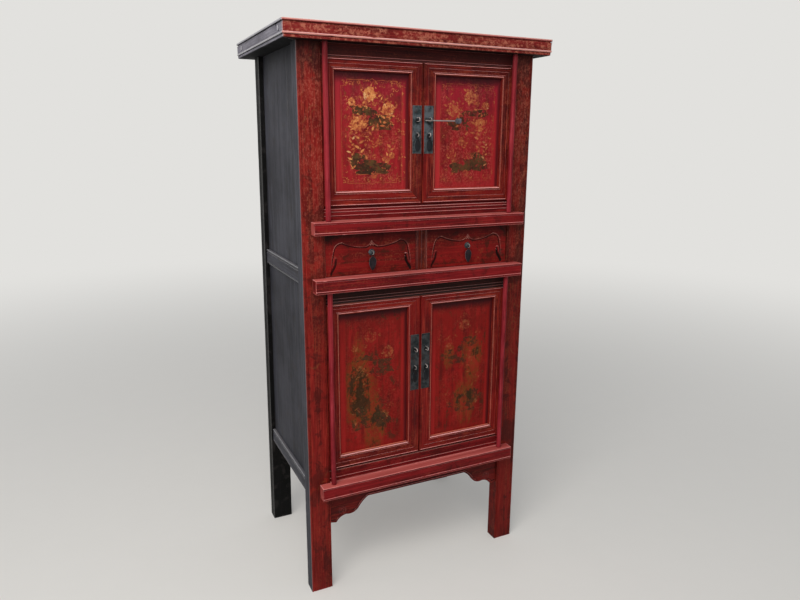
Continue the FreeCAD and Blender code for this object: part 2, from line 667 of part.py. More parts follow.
# ---------------------------------------------------------------- drawers
def field_outline(x_mid, half, y, z0, z1):
    """Cusped outline of the sunk field on a drawer front, open at the foot."""
    points = [(0, z1 - FIELD_APEX, 0),
              (FIELD_CUSP_HALF, z1 - FIELD_DIP, CUSP_BOW),
              (half - FIELD_CROWN_IN, z1 - FIELD_CROWN, DIP_BOW),
              (half - FIELD_HAUNCH_IN, z1 - FIELD_HAUNCH, HAUNCH_BOW),
              (half - FIELD_FOOT_IN, z0 - 1, FOOT_BOW)]
    return symmetric_outline(x_mid, y, points)


def make_drawer(name, side):
    """One drawer: carved front, box of four boards, rosette with its staple, and pull."""
    x0, x1 = side * DRAWER_INNER, side * DRAWER_OUTER
    x_mid, half = (x0 + x1) / 2, abs(x1 - x0) / 2
    z0, z1 = Z_DRAWER + DRAWER_GAP, Z_UPPER_RAIL - DRAWER_GAP
    y0 = Y_FRONT + DRAWER_FRONT_SETBACK
    y1 = y0 + DRAWER_FRONT_T
    front = box(x0, x1, y0, y1, z0, z1)
    front = front.cut(outline_solid(field_outline(x_mid, half, y0 - 1, z0, z1),
                                    V(0, FIELD_SINK + 1, 0)))
    run_z = Z_DRAWER + DRAWER_RUN_GAP
    inset, thick = DRAWER_SIDE_INSET, DRAWER_SIDE_T
    box_top = z1 - DRAWER_TOP_GAP
    bottom_z = run_z + DRAWER_BOTTOM_RAISE
    grow = half - inset - thick + DRAWER_GROOVE
    bottom = box(x_mid - grow, x_mid + grow, y1, BOX_BACK_Y, bottom_z,
                 bottom_z + DRAWER_BOTTOM_T)
    sides = []
    for end in (-1, 1):
        out = x_mid + end * (half - inset)
        sides.append(box(out, out - end * thick, y1, BOX_BACK_Y, run_z, box_top).cut(bottom))
    back = box(x_mid - half + inset + thick, x_mid + half - inset - thick,
               BOX_BACK_Y - thick, BOX_BACK_Y, bottom_z + DRAWER_BOTTOM_T, box_top)
    face = y0 + FIELD_SINK
    z_eye = z1 - ROSETTE_DROP
    rim = Part.makeCylinder(ROSETTE_R, ROSETTE_RIM_T, V(x_mid, face - ROSETTE_RIM_T, z_eye),
                            V(0, 1, 0))
    boss = Part.makeCone(ROSETTE_R - 1, ROSETTE_BOSS_R, ROSETTE_T - ROSETTE_RIM_T,
                         V(x_mid, face - ROSETTE_RIM_T, z_eye), V(0, -1, 0))
    loop = staple(x_mid, face - ROSETTE_T, z_eye, HANG_STANDOFF)
    parts[name + "_front"] = front.cut(loop)
    parts[name + "_box"] = sides + [back, bottom]
    parts[name + "_rosette"] = [rim.fuse(boss).removeSplitter().cut(loop), loop]
    parts[name + "_pull"] = pendant(x_mid, face - ROSETTE_T, z_eye, pointed_drop)


def make_divider():
    """Beaded muntin between the drawers, with the guides that the drawers run along."""
    half = MUNTIN_W / 2
    y = Y_FRONT + MUNTIN_SETBACK
    steps = [V(-half, Y_RAIL_BACK, Z_DRAWER), ("line", V(-half, y + BEAD_RISE, Z_DRAWER))]
    for centre in (-half + BEAD, 0, half - BEAD):
        steps += [("line", V(centre - BEAD / 2, y + BEAD_RISE, Z_DRAWER)),
                  ("arc", V(centre, y, Z_DRAWER), V(centre + BEAD / 2, y + BEAD_RISE, Z_DRAWER))]
    steps += [("line", V(half, y + BEAD_RISE, Z_DRAWER)), ("line", V(half, Y_RAIL_BACK, Z_DRAWER))]
    muntin = outline_solid(steps, V(0, 0, DRAWER_OPENING_H))
    y_stub = (y + Y_RAIL_BACK - STUB_T) / 2
    stub = box(-half + BEAD, half - BEAD, y_stub, y_stub + STUB_T,
               Z_DRAWER - STUB_L, Z_UPPER_RAIL + STUB_L)
    muntin = muntin.fuse(stub).removeSplitter()
    stop_y = BOX_BACK_Y + STOP_GAP
    top = Z_DRAWER + GUIDE_H
    reach = DRAWER_INNER + DRAWER_SIDE_INSET - GUIDE_GAP
    guides = [box(-reach, reach, Y_RAIL_BACK, stop_y, Z_DRAWER, top)]
    edge = DRAWER_OUTER - DRAWER_SIDE_INSET + GUIDE_GAP
    for side in (-1, 1):
        guides.append(box(side * edge, side * SIDE_RAIL_INNER_X, Y_BEHIND_POST, stop_y,
                          Z_DRAWER, top))
    guides.append(box(-SIDE_RAIL_INNER_X, SIDE_RAIL_INNER_X, stop_y, stop_y + STOP_STRIP_D,
                      Z_DRAWER, top))
    return [muntin] + guides


# ---------------------------------------------------------------- assembly
def as_list(shape):
    return shape if isinstance(shape, list) else [shape]


def cut_by(names, cutters):
    """Cut each named node by the given shapes, solid by solid."""
    for name in names:
        solids = []
        for solid in as_list(parts[name]):
            for tool in cutters:
                solid = solid.cut(tool)
            solids.append(solid)
        parts[name] = solids


def node_solids(*names):
    return [solid for name in names for solid in as_list(parts[name])]


def build_carcass():
    """Posts, rails, fascias, panels, floors, back and stand apron, with their joints."""
    for name, side in (("left", -1), ("right", 1)):
        parts["post_front_" + name] = make_post(side, True)
        parts["post_back_" + name] = make_post(side, False)
        low_z, mid_z = LEG_CLEAR, Z_SIDE_RAIL_MID
        parts["side_rail_low_" + name] = make_side_rail(side, low_z)
        parts["side_rail_mid_" + name] = make_side_rail(side, mid_z)
        tongue = PANEL_TONGUE_IN_POST
        parts["side_panel_lower_" + name] = make_side_panel(
            side, low_z + SIDE_RAIL_H - tongue, mid_z + tongue)
        parts["side_panel_upper_" + name] = make_side_panel(
            side, mid_z + SIDE_RAIL_H - tongue, Z_CORNICE)
    parts["rail_bottom"] = make_front_rail(Z_BOTTOM_RAIL, BOTTOM_RAIL_H, BOTTOM_RAIL_LAP)
    parts["rail_middle"] = make_front_rail(Z_MIDDLE_RAIL, MIDDLE_RAIL_H, RAIL_LAP)
    parts["rail_upper"] = make_front_rail(Z_UPPER_RAIL, UPPER_RAIL_H, RAIL_LAP)
    near_top = 2 * BEAD
    parts["sill_lower"] = make_fascia(Z_SILL, SILL_H, True, [SILL_H - near_top])
    parts["frieze_lower"] = make_fascia(Z_LOWER_FRIEZE, LOWER_FRIEZE_H, False,
                                        [BEAD, 3 * BEAD])
    parts["ledge_upper"] = make_fascia(Z_LEDGE, LEDGE_H, True,
                                       [LEDGE_H - near_top, LEDGE_H - 2 * near_top])
    parts["frieze_upper"] = make_fascia(Z_UPPER_FRIEZE, UPPER_FRIEZE_H, False, [BEAD / 2])
    parts["drawer_divider"] = make_divider()
    rail_depth = BACK_RAIL_SINK + BACK_RAIL_T
    bearer_x = PANEL_INNER_X - BEARER_W
    bearers = [splayed(side * PANEL_INNER_X, side * bearer_x, Y_BEHIND_POST, POST_D,
                       Z_LEDGE - BEARER_H, Z_LEDGE) for side in (-1, 1)]
    parts["floor_upper"] = [make_floor(Z_LEDGE + FLOOR_T, PANEL_INNER_X,
                                       BACK_BOARD_SINK + BACK_BOARD_T)] + bearers
    parts["drawer_bed"] = make_floor(Z_DRAWER, SIDE_RAIL_INNER_X, rail_depth)
    parts["floor_lower"] = make_floor(Z_SILL, SIDE_RAIL_INNER_X, rail_depth)
    parts["back_rails"] = [make_back_rail(LEG_CLEAR), make_back_rail(Z_SIDE_RAIL_MID)]
    tongue = PANEL_TONGUE_IN_POST
    parts["back_boards"] = (
        make_back_boards(LEG_CLEAR + SIDE_RAIL_H - tongue, Z_SIDE_RAIL_MID + tongue)
        + make_back_boards(Z_SIDE_RAIL_MID + SIDE_RAIL_H - tongue, Z_CORNICE))
    parts["stand_apron"] = make_apron()


def fit_carcass():
    """Cut every mortise and groove with the piece that goes into it."""
    posts = ["post_front_left", "post_front_right", "post_back_left", "post_back_right"]
    side_rails = [n for n in parts if n.startswith("side_rail")]
    side_panels = [n for n in parts if n.startswith("side_panel")]
    fronts = ["rail_bottom", "rail_middle", "rail_upper", "sill_lower", "frieze_lower",
              "ledge_upper", "frieze_upper", "stand_apron"]
    cut_by(["rail_middle", "rail_upper"], node_solids("drawer_divider"))
    cut_by(["floor_upper", "drawer_bed", "floor_lower"], node_solids(*posts))
    cut_by(side_rails, node_solids(*side_panels))
    cut_by(["back_rails"], node_solids("back_boards"))
    cut_by(posts, node_solids(*side_panels, *side_rails, *fronts, "back_boards", "back_rails"))
    cut_by(["cornice_front", "cornice_back"], node_solids(*posts))


def build_doors():
    """Four leaves, their sockets in the rails and cornice, and the lock pin."""
    lower = (LOWER_PLATE_BOTTOM, LOWER_PLATE_H, LOWER_LOCK_Z, LOWER_HANG_Z)
    upper = (UPPER_PLATE_BOTTOM, UPPER_PLATE_H, UPPER_LOCK_Z, UPPER_HANG_Z)
    for name, side in (("left", -1), ("right", 1)):
        low = Leaf("lower_" + name, side, Z_LOWER, LOWER_OPENING_H, Z_SILL, Z_MIDDLE_RAIL, lower)
        high = Leaf("upper_" + name, side, Z_UPPER, UPPER_OPENING_H, Z_LEDGE, Z_CORNICE, upper)
        low.build()
        high.build()
        cut_by(["rail_bottom"], [low.socket(Z_SILL)])
        cut_by(["rail_middle"], [low.socket(Z_MIDDLE_RAIL)])
        cut_by(["rail_upper"], [high.socket(Z_LEDGE)])
        cut_by(["cornice_front"], [high.socket(Z_CORNICE)])
        lock_z = high.lock_z
    parts["lock_pin"] = make_lock_pin(lock_z)


def write_steps():
    """One STEP file per node."""
    os.makedirs("parts", exist_ok=True)
    for name, shape in parts.items():
        solids = [s for item in as_list(shape) for s in item.Solids]
        whole = solids[0] if len(solids) == 1 else Part.makeCompound(solids)
        whole.exportStep("parts/" + name + ".step")


build_carcass()
make_cornice()
fit_carcass()
build_doors()
make_drawer("drawer_left", -1)
make_drawer("drawer_right", 1)
write_steps()
whole = Part.makeCompound([s for item in parts.values() for s in as_list(item)]).BoundBox
print(len(parts), "nodes,", round(whole.XLength, 2), "x", round(whole.YLength, 2), "x",
      round(whole.ZLength, 2), "mm, y", round(whole.YMin, 2), "to", round(whole.YMax, 2))
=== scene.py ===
"""Looks of the lacquered cabinet on stand: its dressed pieces, finishes, studio and camera."""

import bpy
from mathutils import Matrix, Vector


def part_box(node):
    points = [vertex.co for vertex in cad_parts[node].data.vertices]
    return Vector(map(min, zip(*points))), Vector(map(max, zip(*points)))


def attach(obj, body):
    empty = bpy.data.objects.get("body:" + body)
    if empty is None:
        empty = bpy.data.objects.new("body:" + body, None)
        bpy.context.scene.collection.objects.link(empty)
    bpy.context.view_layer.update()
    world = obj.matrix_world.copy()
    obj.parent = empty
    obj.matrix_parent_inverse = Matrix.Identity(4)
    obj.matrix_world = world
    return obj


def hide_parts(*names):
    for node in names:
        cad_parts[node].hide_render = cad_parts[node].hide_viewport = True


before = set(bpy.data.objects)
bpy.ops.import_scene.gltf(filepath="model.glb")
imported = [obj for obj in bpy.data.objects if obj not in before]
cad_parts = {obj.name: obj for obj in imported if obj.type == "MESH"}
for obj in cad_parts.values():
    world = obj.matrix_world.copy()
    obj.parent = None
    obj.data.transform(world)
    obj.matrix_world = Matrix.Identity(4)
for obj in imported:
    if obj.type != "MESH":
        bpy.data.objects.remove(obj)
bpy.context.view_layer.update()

import logging
import math
from collections.abc import Sequence
from dataclasses import dataclass, field, replace
from enum import Enum
from functools import cached_property, reduce

import bmesh
import bpy
import numpy as np
from mathutils import Matrix, Vector

LOG = logging.getLogger("cabinet")
MM = 0.001
CREASE = 38.0          # degrees; a sharper edge is shaded as a hard one
PANEL_TONGUE = 8.0     # mm of a door panel that its frame's groove hides
WELD_REACH = 0.00002   # metres; points this close in a CAD node are joined
EASE_ANGLE = 40.0      # degrees; a sharper edge of a CAD node is eased
RAIL_ENDS = ((1.12, 0.14), (1.31, 0.1), (0.42, 0.16), (1.86, 0.22))   # height and reach, metres
Colour = tuple[float, float, float, float]
Array = np.ndarray


def ink(red: int, green: int, blue: int) -> Colour:
    """Linear colour of a display colour.

    Args:
        red: Red, 0 to 255.
        green: Green, 0 to 255.
        blue: Blue, 0 to 255.

    Returns:
        The same colour with linear channels and an alpha of one.
    """
    channels = [c / 255 for c in (red, green, blue)]
    linear = [c / 12.92 if c <= 0.04045 else ((c + 0.055) / 1.055) ** 2.4 for c in channels]
    return (linear[0], linear[1], linear[2], 1.0)


def vec(x: float, y: float, z: float) -> Array:
    """A point or direction as an array."""
    return np.array([x, y, z], float)


def turns(count: int) -> Array:
    """Angles at even steps round a circle."""
    return np.linspace(0, 2 * math.pi, count, endpoint=False)


def signed_power(value: Array, power: float) -> Array:
    """The size of each value to a power, with the sign of the value."""
    return np.sign(value) * np.abs(value) ** power


def spots(x: Array | float, y: Array | float, z: Array | float) -> Array:
    """Points from their coordinates, any of which may be the same for all."""
    return np.stack(np.broadcast_arrays(x, y, z), -1)


def left_of(way: Array) -> Array:
    """Flat directions turned by a quarter to the left."""
    return np.stack([-way[..., 1], way[..., 0]], -1)


def bell(distance: Array, reach: float, power: int = 2) -> Array:
    """1 at no distance, dying away over the reach on both sides."""
    return np.exp(-(distance / reach) ** power)


RIGHT, AWAY, UP = vec(1, 0, 0), vec(0, 1, 0), vec(0, 0, 1)
FRONT = -AWAY
SIDES = {"left": -1, "right": 1}


def extent(node: str) -> tuple[Array, Array]:
    """Lowest and highest corner of a CAD node, in millimetres."""
    low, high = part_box(node)
    return np.array(low) / MM, np.array(high) / MM


# ------------------------------------------------------------------------------ sections
@dataclass
class Section:
    """Closed outline of a moulding, walked clockwise: (across, out) points with their crest,
    painted as rubbing and highlight on arrises and as shade in grooves.
    """

    points: list[Array] = field(default_factory=list)
    radii: list[float] = field(default_factory=list)
    wear_and_shade: list[float | None] = field(default_factory=list)
    round: list[bool] = field(default_factory=list)
    slots: list[int] = field(default_factory=list)

    def corner(self, across: float, out: float, radius: float = 0.0,
               wear_and_shade: float | None = None, slot: int = 0) -> "Section":
        """Add a corner.

        Args:
            across: Place across the moulding, mm.
            out: Height of the face there, mm.
            radius: How far the corner is eased.
            wear_and_shade: Its crest, where it isn't that of its shape; a negative one is painted
                as shade.
            slot: Material slot of the face that follows it.

        Returns:
            The section, for the next corner.
        """
        self.points.append(np.array([across, out], float))
        self.radii.append(radius)
        self.wear_and_shade.append(wear_and_shade)
        self.round.append(False)
        self.slots.append(slot)
        return self

    def corners(self, *rows: tuple) -> "Section":
        """Add corners one after another.

        Args:
            *rows: For each, what the corner method takes.

        Returns:
            The section, for the next corner.
        """
        for row in rows:
            self.corner(*row)
        return self

    def bead(self, start: tuple[float, float], end: tuple[float, float], rise: float,
             shine: float = 1.0, steps: int = 6) -> "Section":
        """Add a round bead between two points.

        Args:
            start: Where the bead springs.
            end: Where it lands.
            rise: How far it stands out.
            shine: Crest of its middle.
            steps: Facets across it.

        Returns:
            The section, for the next corner.
        """
        self.corner(*start)
        a, b = np.array(start, float), np.array(end, float)
        way = b - a
        outward = left_of(way) / np.linalg.norm(way)
        for i in range(1, steps):
            t = i / steps
            place = a + way * t + outward * rise * math.sin(math.pi * t) ** 0.8
            self.corner(place[0], place[1], 0.0, shine * math.sin(math.pi * t) ** 2)
            self.round[-1] = True
        return self.corner(*end)

    def outline(self, fade: float = 1.1) -> tuple[Array, Array, Array]:
        """Ease the corners and say how worn each point is.

        Args:
            fade: Distance over which the crest of a corner dies away, mm.

        Returns:
            The outline's points, their crest from -1 in a groove to 1 on an arris, and the
            material slot of the face after each.
        """
        places: list[Array] = []
        crest: list[float] = []
        slots: list[int] = []

        def put(place: Array, value: float, slot: int) -> None:
            """Keep one point."""
            places.append(place)
            crest.append(value)
            slots.append(slot)

        count = len(self.points)
        for i, here in enumerate(self.points):
            wear_and_shade, own, last = self.wear_and_shade[i], self.slots[i], self.slots[i - 1]
            if self.round[i]:
                put(here, wear_and_shade or 0.0, own)
                continue
            back, ahead = self.points[i - 1] - here, self.points[(i + 1) % count] - here
            far_back, far_ahead = np.linalg.norm(back), np.linalg.norm(ahead)
            back, ahead = back / far_back, ahead / far_ahead
            bend = math.acos(max(-1.0, min(1.0, float(back @ ahead))))
            convex = float(back[0] * ahead[1] - back[1] * ahead[0]) > 0
            value = wear_and_shade if wear_and_shade is not None else 1.0 if convex else -1.0
            reach = self.radii[i] / max(math.tan(bend / 2), 0.2)
            reach = min(reach, 0.4 * far_back, 0.4 * far_ahead)
            spread = fade + 0.5 * self.radii[i]
            guarded = wear_and_shade is None or (wear_and_shade > 0 and self.radii[i] > 0)
            if guarded and reach + spread < 0.48 * far_back:
                put(here + back * (reach + spread), 0.0, last)
            if reach > 0:
                for t in (0.0, 0.33, 0.67, 1.0):
                    put(here + back * reach * (1 - t) ** 2 + ahead * reach * t * t, value,
                        last if t < 0.5 else own)
            else:
                put(here, value, own)
            if guarded and reach + spread < 0.48 * far_ahead:
                put(here + ahead * (reach + spread), 0.0, own)
        return np.array(places), np.array(crest), np.array(slots)


def block_section(width: float, height: float, ease: float = 1.2) -> Section:
    """Plain rectangle with eased arrises.

    Args:
        width: Size across, mm.
        height: Size outwards, mm.
        ease: Radius of its arrises, mm.

    Returns:
        The section, its inner corner at the origin.
    """
    shape = Section()
    for across, out in ((0, 0), (0, height), (width, height), (width, 0)):
        shape.corner(across, out, ease)
    return shape


# ------------------------------------------------------------------------------ meshes
class Shell:
    """A mesh under construction, in millimetres of the row frame."""

    def __init__(self) -> None:
        """Start an empty mesh."""
        self.points: list[Array] = []
        self.fields: dict[str, list[Array]] = {"crest": []}
        self.faces: list[tuple[int, ...]] = []
        self.slots: list[int] = []
        self.count = 0

    def add(self, points: Array, faces: Sequence[Sequence[int]], crest: Array | float = 0.0,
            slot: int | Sequence[int] = 0, **more: Array | float) -> None:
        """Add loose geometry.

        Args:
            points: Its points, one row each.
            faces: Its faces, as indices of those points.
            crest: Crest of each point, from -1 in a groove, painted as shade, to 1 on an arris,
                painted as rubbing and highlight.
            slot: Material slot of the faces, or of each.
            **more: Other values of each point, by attribute name.
        """
        number = len(points)
        for name in more:
            self.fields.setdefault(name, [np.zeros(self.count)] if self.count else [])
        for name, parts in self.fields.items():
            value = crest if name == "crest" else more.get(name, 0.0)
            parts.append(np.broadcast_to(np.asarray(value, float), (number,)))
        self.points.append(np.asarray(points, float))
        for face in faces:
            self.faces.append(tuple(int(i) + self.count for i in face))
        self.slots.extend([slot] * len(faces) if isinstance(slot, int) else slot)
        self.count += number

    def loft(self, rings: Array, crest: Array | float = 0.0, slot: int | Array = 0,
             capped: bool = True, **more: Array | float) -> None:
        """Add a skin over closed rings of points.

        Args:
            rings: Points, as rings by points by three.
            crest: Crest of each point of each ring, or one value.
            slot: Material slot, or one for each place round the ring.
            capped: Whether both ends are closed.
            **more: Other values, as the crest.
        """
        rows, across = rings.shape[:2]
        index = np.arange(rows * across).reshape(rows, across)
        turned = np.roll(index, -1, axis=1)
        quads = np.stack([index[:-1], turned[:-1], turned[1:], index[1:]], -1).reshape(-1, 4)
        faces = [tuple(q) for q in quads.tolist()]
        round_slots = np.broadcast_to(slot, (rows - 1, across)).ravel().tolist()
        if capped:
            faces += [tuple(index[0][::-1].tolist()), tuple(index[-1].tolist())]
            round_slots += [round_slots[across // 2]] * 2
        flat = {name: np.broadcast_to(value, (rows, across)).ravel()
                for name, value in more.items()}
        self.add(rings.reshape(-1, 3), faces, np.broadcast_to(crest, (rows, across)).ravel(),
                 round_slots, **flat)

    def build(self, name: str, materials: Sequence[bpy.types.Material],
              crease: float) -> bpy.types.Object:
        """Make the object.

        Args:
            name: The object's name.
            materials: Its materials, in slot order.
            crease: Edges sharper than this many degrees stay sharp.

        Returns:
            The new object, linked to the scene.
        """
        mesh = bpy.data.meshes.new(name)
        mesh.from_pydata((np.concatenate(self.points) * MM).tolist(), [], self.faces)
        for key, parts in self.fields.items():
            layer = mesh.attributes.new(key, "FLOAT", "POINT")
            layer.data.foreach_set("value", np.concatenate(parts).astype(np.float32))
        for material in materials:
            mesh.materials.append(material)
        mesh.polygons.foreach_set("material_index", self.slots)
        shape = bmesh.new()
        shape.from_mesh(mesh)
        bmesh.ops.recalc_face_normals(shape, faces=shape.faces)
        shape.to_mesh(mesh)
        shape.free()
        mesh.shade_smooth()
        mesh.set_sharp_from_angle(angle=math.radians(crease))
        made = bpy.data.objects.new(name, mesh)
        bpy.context.scene.collection.objects.link(made)
        return made


class End(Enum):
    """How the end of a bar is left."""

    OPEN = "open"      # eased and worn
    MITRE = "mitre"    # closed against its neighbour, with a dark hairline
    BUTT = "butt"      # hidden in another piece


HIDDEN = (End.BUTT, End.BUTT)
MITRED = (End.MITRE, End.MITRE)


def waves(places: Array, drift: Array, seed: int, period: float = 90.0) -> Array:
    """Slow random waviness.

    Args:
        places: Places along the piece, mm.
        drift: Places across it, mm, of the same shape.
        seed: Which waviness.
        period: Typical wave length, mm.

    Returns:
        Values from 0 to 1.
    """
    draw = np.random.default_rng(seed)
    total = np.zeros(np.broadcast(places, drift).shape)
    for i in range(5):
        pace = 2 * math.pi / (period * draw.uniform(0.4, 1.7))
        total = total + np.sin(places * pace + drift * draw.uniform(-0.05, 0.05)
                               + draw.uniform(0, 6.28)) / (1 + 0.4 * i)
    return 0.5 + total / 6.6


@dataclass
class Bar:
    """A length of moulding: a section carried along a straight run, with hand-made faults."""

    section: Section
    origin: Array
    across: Array
    out: Array
    run: Array
    length: float
    start_slope: float = 0.0
    end_slope: float = 0.0
    ends: tuple[End, End] = (End.OPEN, End.OPEN)
    ease: float = 1.0
    step: float = 9.0
    sway: float = 0.25
    nicks: int = 4
    nick_depth: float = 0.9
    seed: int = 1

    def stations(self) -> list[tuple[float, float, float, float | None]]:
        """Rows along the bar.

        Returns:
            Share of the length, offset in mm, inset in mm and forced crest of each row.
        """
        shapes = {End.OPEN: [(0.0, 1.0, 1.0), (0.3, 0.3, 1.0), (1.0, 0.0, 1.0), (2.3, 0.0, None)],
                  End.MITRE: [(0.0, 0.35, -1.0), (0.4, 0.1, -0.7), (0.9, 0.0, None)],
                  End.BUTT: [(0.0, 0.0, None)]}
        first, last = ([(share, way * offset * self.ease, inset * self.ease, crest)
                        for offset, inset, crest in shapes[end]]
                       for share, way, end in ((0.0, 1, self.ends[0]), (1.0, -1, self.ends[1])))
        number = max(2, int(self.length / self.step))
        middle = [(i / number, 0.0, 0.0, None) for i in range(1, number)]
        return first + middle + last[::-1]

    def onto(self, shell: Shell, slot: int = 0) -> None:
        """Add the bar to a mesh.

        Args:
            shell: The mesh.
            slot: Material slot.
        """
        outline, crest, slots = self.section.outline()
        normal = left_of(np.roll(outline, -1, axis=0) - np.roll(outline, 1, axis=0))
        normal /= np.maximum(np.linalg.norm(normal, axis=1, keepdims=True), 1e-9)
        rows = self.stations()
        starts = outline[:, 0] * self.start_slope
        stops = self.length - outline[:, 0] * self.end_slope
        along = np.array([(1 - f) * starts + f * stops + d for f, d, _, _ in rows])
        inset = np.array([i for _, _, i, _ in rows])[:, None] + np.zeros(len(outline))
        wear_and_shade = np.array([crest if c is None else np.where(crest < -0.5, crest, c)
                         for _, _, _, c in rows])
        inset = inset + self.sway * waves(along, outline[:, 0] * 0.7, self.seed)
        draw = np.random.default_rng(self.seed + 71)
        arris = np.flatnonzero(crest > 0.8)
        for _ in range(self.nicks if len(arris) else 0):
            place = draw.uniform(0.02, 0.98) * self.length
            centre = outline[draw.choice(arris)]
            length, width = draw.uniform(2.5, 8.0), draw.uniform(0.5, 0.9)
            deep = draw.uniform(0.3, 1.0) * self.nick_depth
            bite = np.exp(-((along - place) / length) ** 2
                          - (np.linalg.norm(outline - centre, axis=1) / width) ** 2)
            inset = inset + deep * bite
            wear_and_shade = np.maximum(wear_and_shade, bite)
        flat = outline[None] - normal[None] * inset[..., None]
        rings = (self.origin + flat[..., :1] * self.across + flat[..., 1:] * self.out
                 + along[..., None] * self.run)
        shell.loft(rings, wear_and_shade, slots + slot)


def ticks(length: float, step: float, ease: float = 1.2) -> Array:
    """Places along an edge, closer together near its ends.

    Args:
        length: Length of the edge, mm.
        step: Usual distance between places, mm.
        ease: Width of the close part, mm.

    Returns:
        The places, from 0 to the length.
    """
    number = max(2, int((length - 4 * ease) / step))
    middle = np.linspace(2 * ease, length - 2 * ease, number)
    edge = np.array([0.0, 0.3, 1.0]) * ease
    return np.concatenate([edge, middle, length - edge[::-1]])


@dataclass
class Relief:
    """A board whose face is a grid of heights, with square sides and a flat back."""

    origin: Array
    across: Array
    up: Array
    out: Array
    u: Array
    v: Array
    depth: float
    height: Array | None = None
    crest: Array | None = None
    ease: float = 1.2
    fields: dict[str, Array] = field(default_factory=dict)

    def onto(self, shell: Shell, slot: int = 0, behind: int | None = None) -> None:
        """Add the board to a mesh.

        Args:
            shell: The mesh.
            slot: Material slot.
            behind: Slot of the flat back, where it is another one.
        """
        rows, columns = self.u.shape
        height = np.zeros_like(self.u) if self.height is None else self.height.copy()
        crest = np.zeros_like(self.u) if self.crest is None else self.crest.copy()
        gap = np.minimum.reduce([self.u - self.u[:, :1], self.u[:, -1:] - self.u,
                                 self.v - self.v[:1], self.v[-1:] - self.v])
        close = np.clip(gap, 0, self.ease)
        height -= self.ease - np.sqrt(np.maximum(self.ease ** 2 - (self.ease - close) ** 2, 0))
        crest = np.maximum(crest, 1 - gap / (1.6 * self.ease)) if self.ease > 0.3 else crest
        face = (self.origin + self.u[..., None] * self.across + self.v[..., None] * self.up
                + height[..., None] * self.out)
        index = np.arange(rows * columns).reshape(rows, columns)
        quads = np.stack([index[:-1, :-1], index[:-1, 1:], index[1:, 1:], index[1:, :-1]], -1)
        faces = [tuple(q) for q in quads.reshape(-1, 4).tolist()]
        loop = np.concatenate([index[0, :-1], index[:-1, -1], index[-1, :0:-1], index[:0:-1, 0]])
        flat = face.reshape(-1, 3)
        rim = flat[loop]
        rim = rim - ((rim - self.origin) @ self.out + self.depth)[:, None] * self.out
        back = np.arange(len(loop)) + rows * columns
        ahead = np.roll(np.arange(len(loop)), -1)
        faces += [(int(loop[i]), int(loop[j]), int(back[j]), int(back[i]))
                  for i, j in enumerate(ahead)]
        faces.append(tuple(back[::-1].tolist()))
        more = {name: np.concatenate([value.ravel(), value.ravel()[loop]])
                for name, value in self.fields.items()}
        slots = [slot] * (len(faces) - 1) + [slot if behind is None else behind]
        shell.add(np.concatenate([flat, rim]), faces,
                  np.concatenate([crest.ravel(), np.zeros(len(loop))]), slots, **more)


def tube(path: Array, side: Array, section: Array, closed: bool = False) -> Array:
    """Rings of a section carried along a flat path.

    Args:
        path: Points of the path, mm.
        side: Unit vector square to the path's plane.
        section: (side, outward) points of the section.
        closed: Whether the path is a loop.

    Returns:
        The rings, with the first one repeated at the end of a loop.
    """
    if closed:
        ahead, back = np.roll(path, -1, axis=0), np.roll(path, 1, axis=0)
    else:
        ahead = np.concatenate([path[1:], path[-1:]])
        back = np.concatenate([path[:1], path[:-1]])
    tangent = ahead - back
    tangent /= np.linalg.norm(tangent, axis=1, keepdims=True)
    outward = np.cross(tangent, side)
    rings = (path[:, None] + section[None, :, :1] * side
             + section[None, :, 1:] * outward[:, None])
    return np.concatenate([rings, rings[:1]]) if closed else rings


def round_section(wide: float, thick: float, points: int = 12, square: float = 2.6) -> Array:
    """Rounded flat section.

    Args:
        wide: Size along the first axis, mm.
        thick: Size along the second, mm.
        points: How many points.
        square: 2 gives an ellipse, more gives squarer corners.

    Returns:
        The points.
    """
    turn, power = turns(points), 2 / square
    return np.stack([signed_power(np.cos(turn), power) * wide / 2,
                     signed_power(np.sin(turn), power) * thick / 2], -1)


# ------------------------------------------------------------------------------ shader maths
class Sock:
    """An output socket that takes part in arithmetic."""

    def __init__(self, net: "Net", link: bpy.types.NodeSocket | None) -> None:
        """Wrap a socket of a tree, or None for a node that has no output."""
        self.net = net
        self.link = link

    def math(self, operation: str, *others: "Sock | float", swap: bool = False) -> "Sock":
        """Run a Math node.

        Args:
            operation: The node's operation.
            *others: Its other operands.
            swap: Whether this socket is the second operand.

        Returns:
            The result.
        """
        operands = [*others, self] if swap else [self, *others]
        return self.net.node("ShaderNodeMath", {"operation": operation},
                             dict(enumerate(operands)))

    def __add__(self, other: "Sock | float") -> "Sock":
        """Sum."""
        return self.math("ADD", other)

    def __radd__(self, other: float) -> "Sock":
        """Sum with a number on the left."""
        return self.math("ADD", other)

    def __sub__(self, other: "Sock | float") -> "Sock":
        """Difference."""
        return self.math("SUBTRACT", other)

    def __rsub__(self, other: float) -> "Sock":
        """Difference from a number."""
        return self.math("SUBTRACT", other, swap=True)

    def __mul__(self, other: "Sock | float") -> "Sock":
        """Product."""
        return self.math("MULTIPLY", other)

    def __rmul__(self, other: float) -> "Sock":
        """Product with a number on the left."""
        return self.math("MULTIPLY", other)

    def most(self, other: "Sock | float") -> "Sock":
        """The larger of the two."""
        return self.math("MAXIMUM", other)

    def band(self, low: float, high: float) -> "Sock":
        """Ease from 0 at low to 1 at high."""
        return self.net.node("ShaderNodeMapRange", {"interpolation_type": "SMOOTHSTEP"},
                             {"Value": self, "From Min": low, "From Max": high})

    def hump(self, centre: float, reach: float) -> "Sock":
        """1 at the centre, easing to 0 at the reach on both sides."""
        return 1.0 - (self - centre).math("ABSOLUTE").band(0.0, reach)


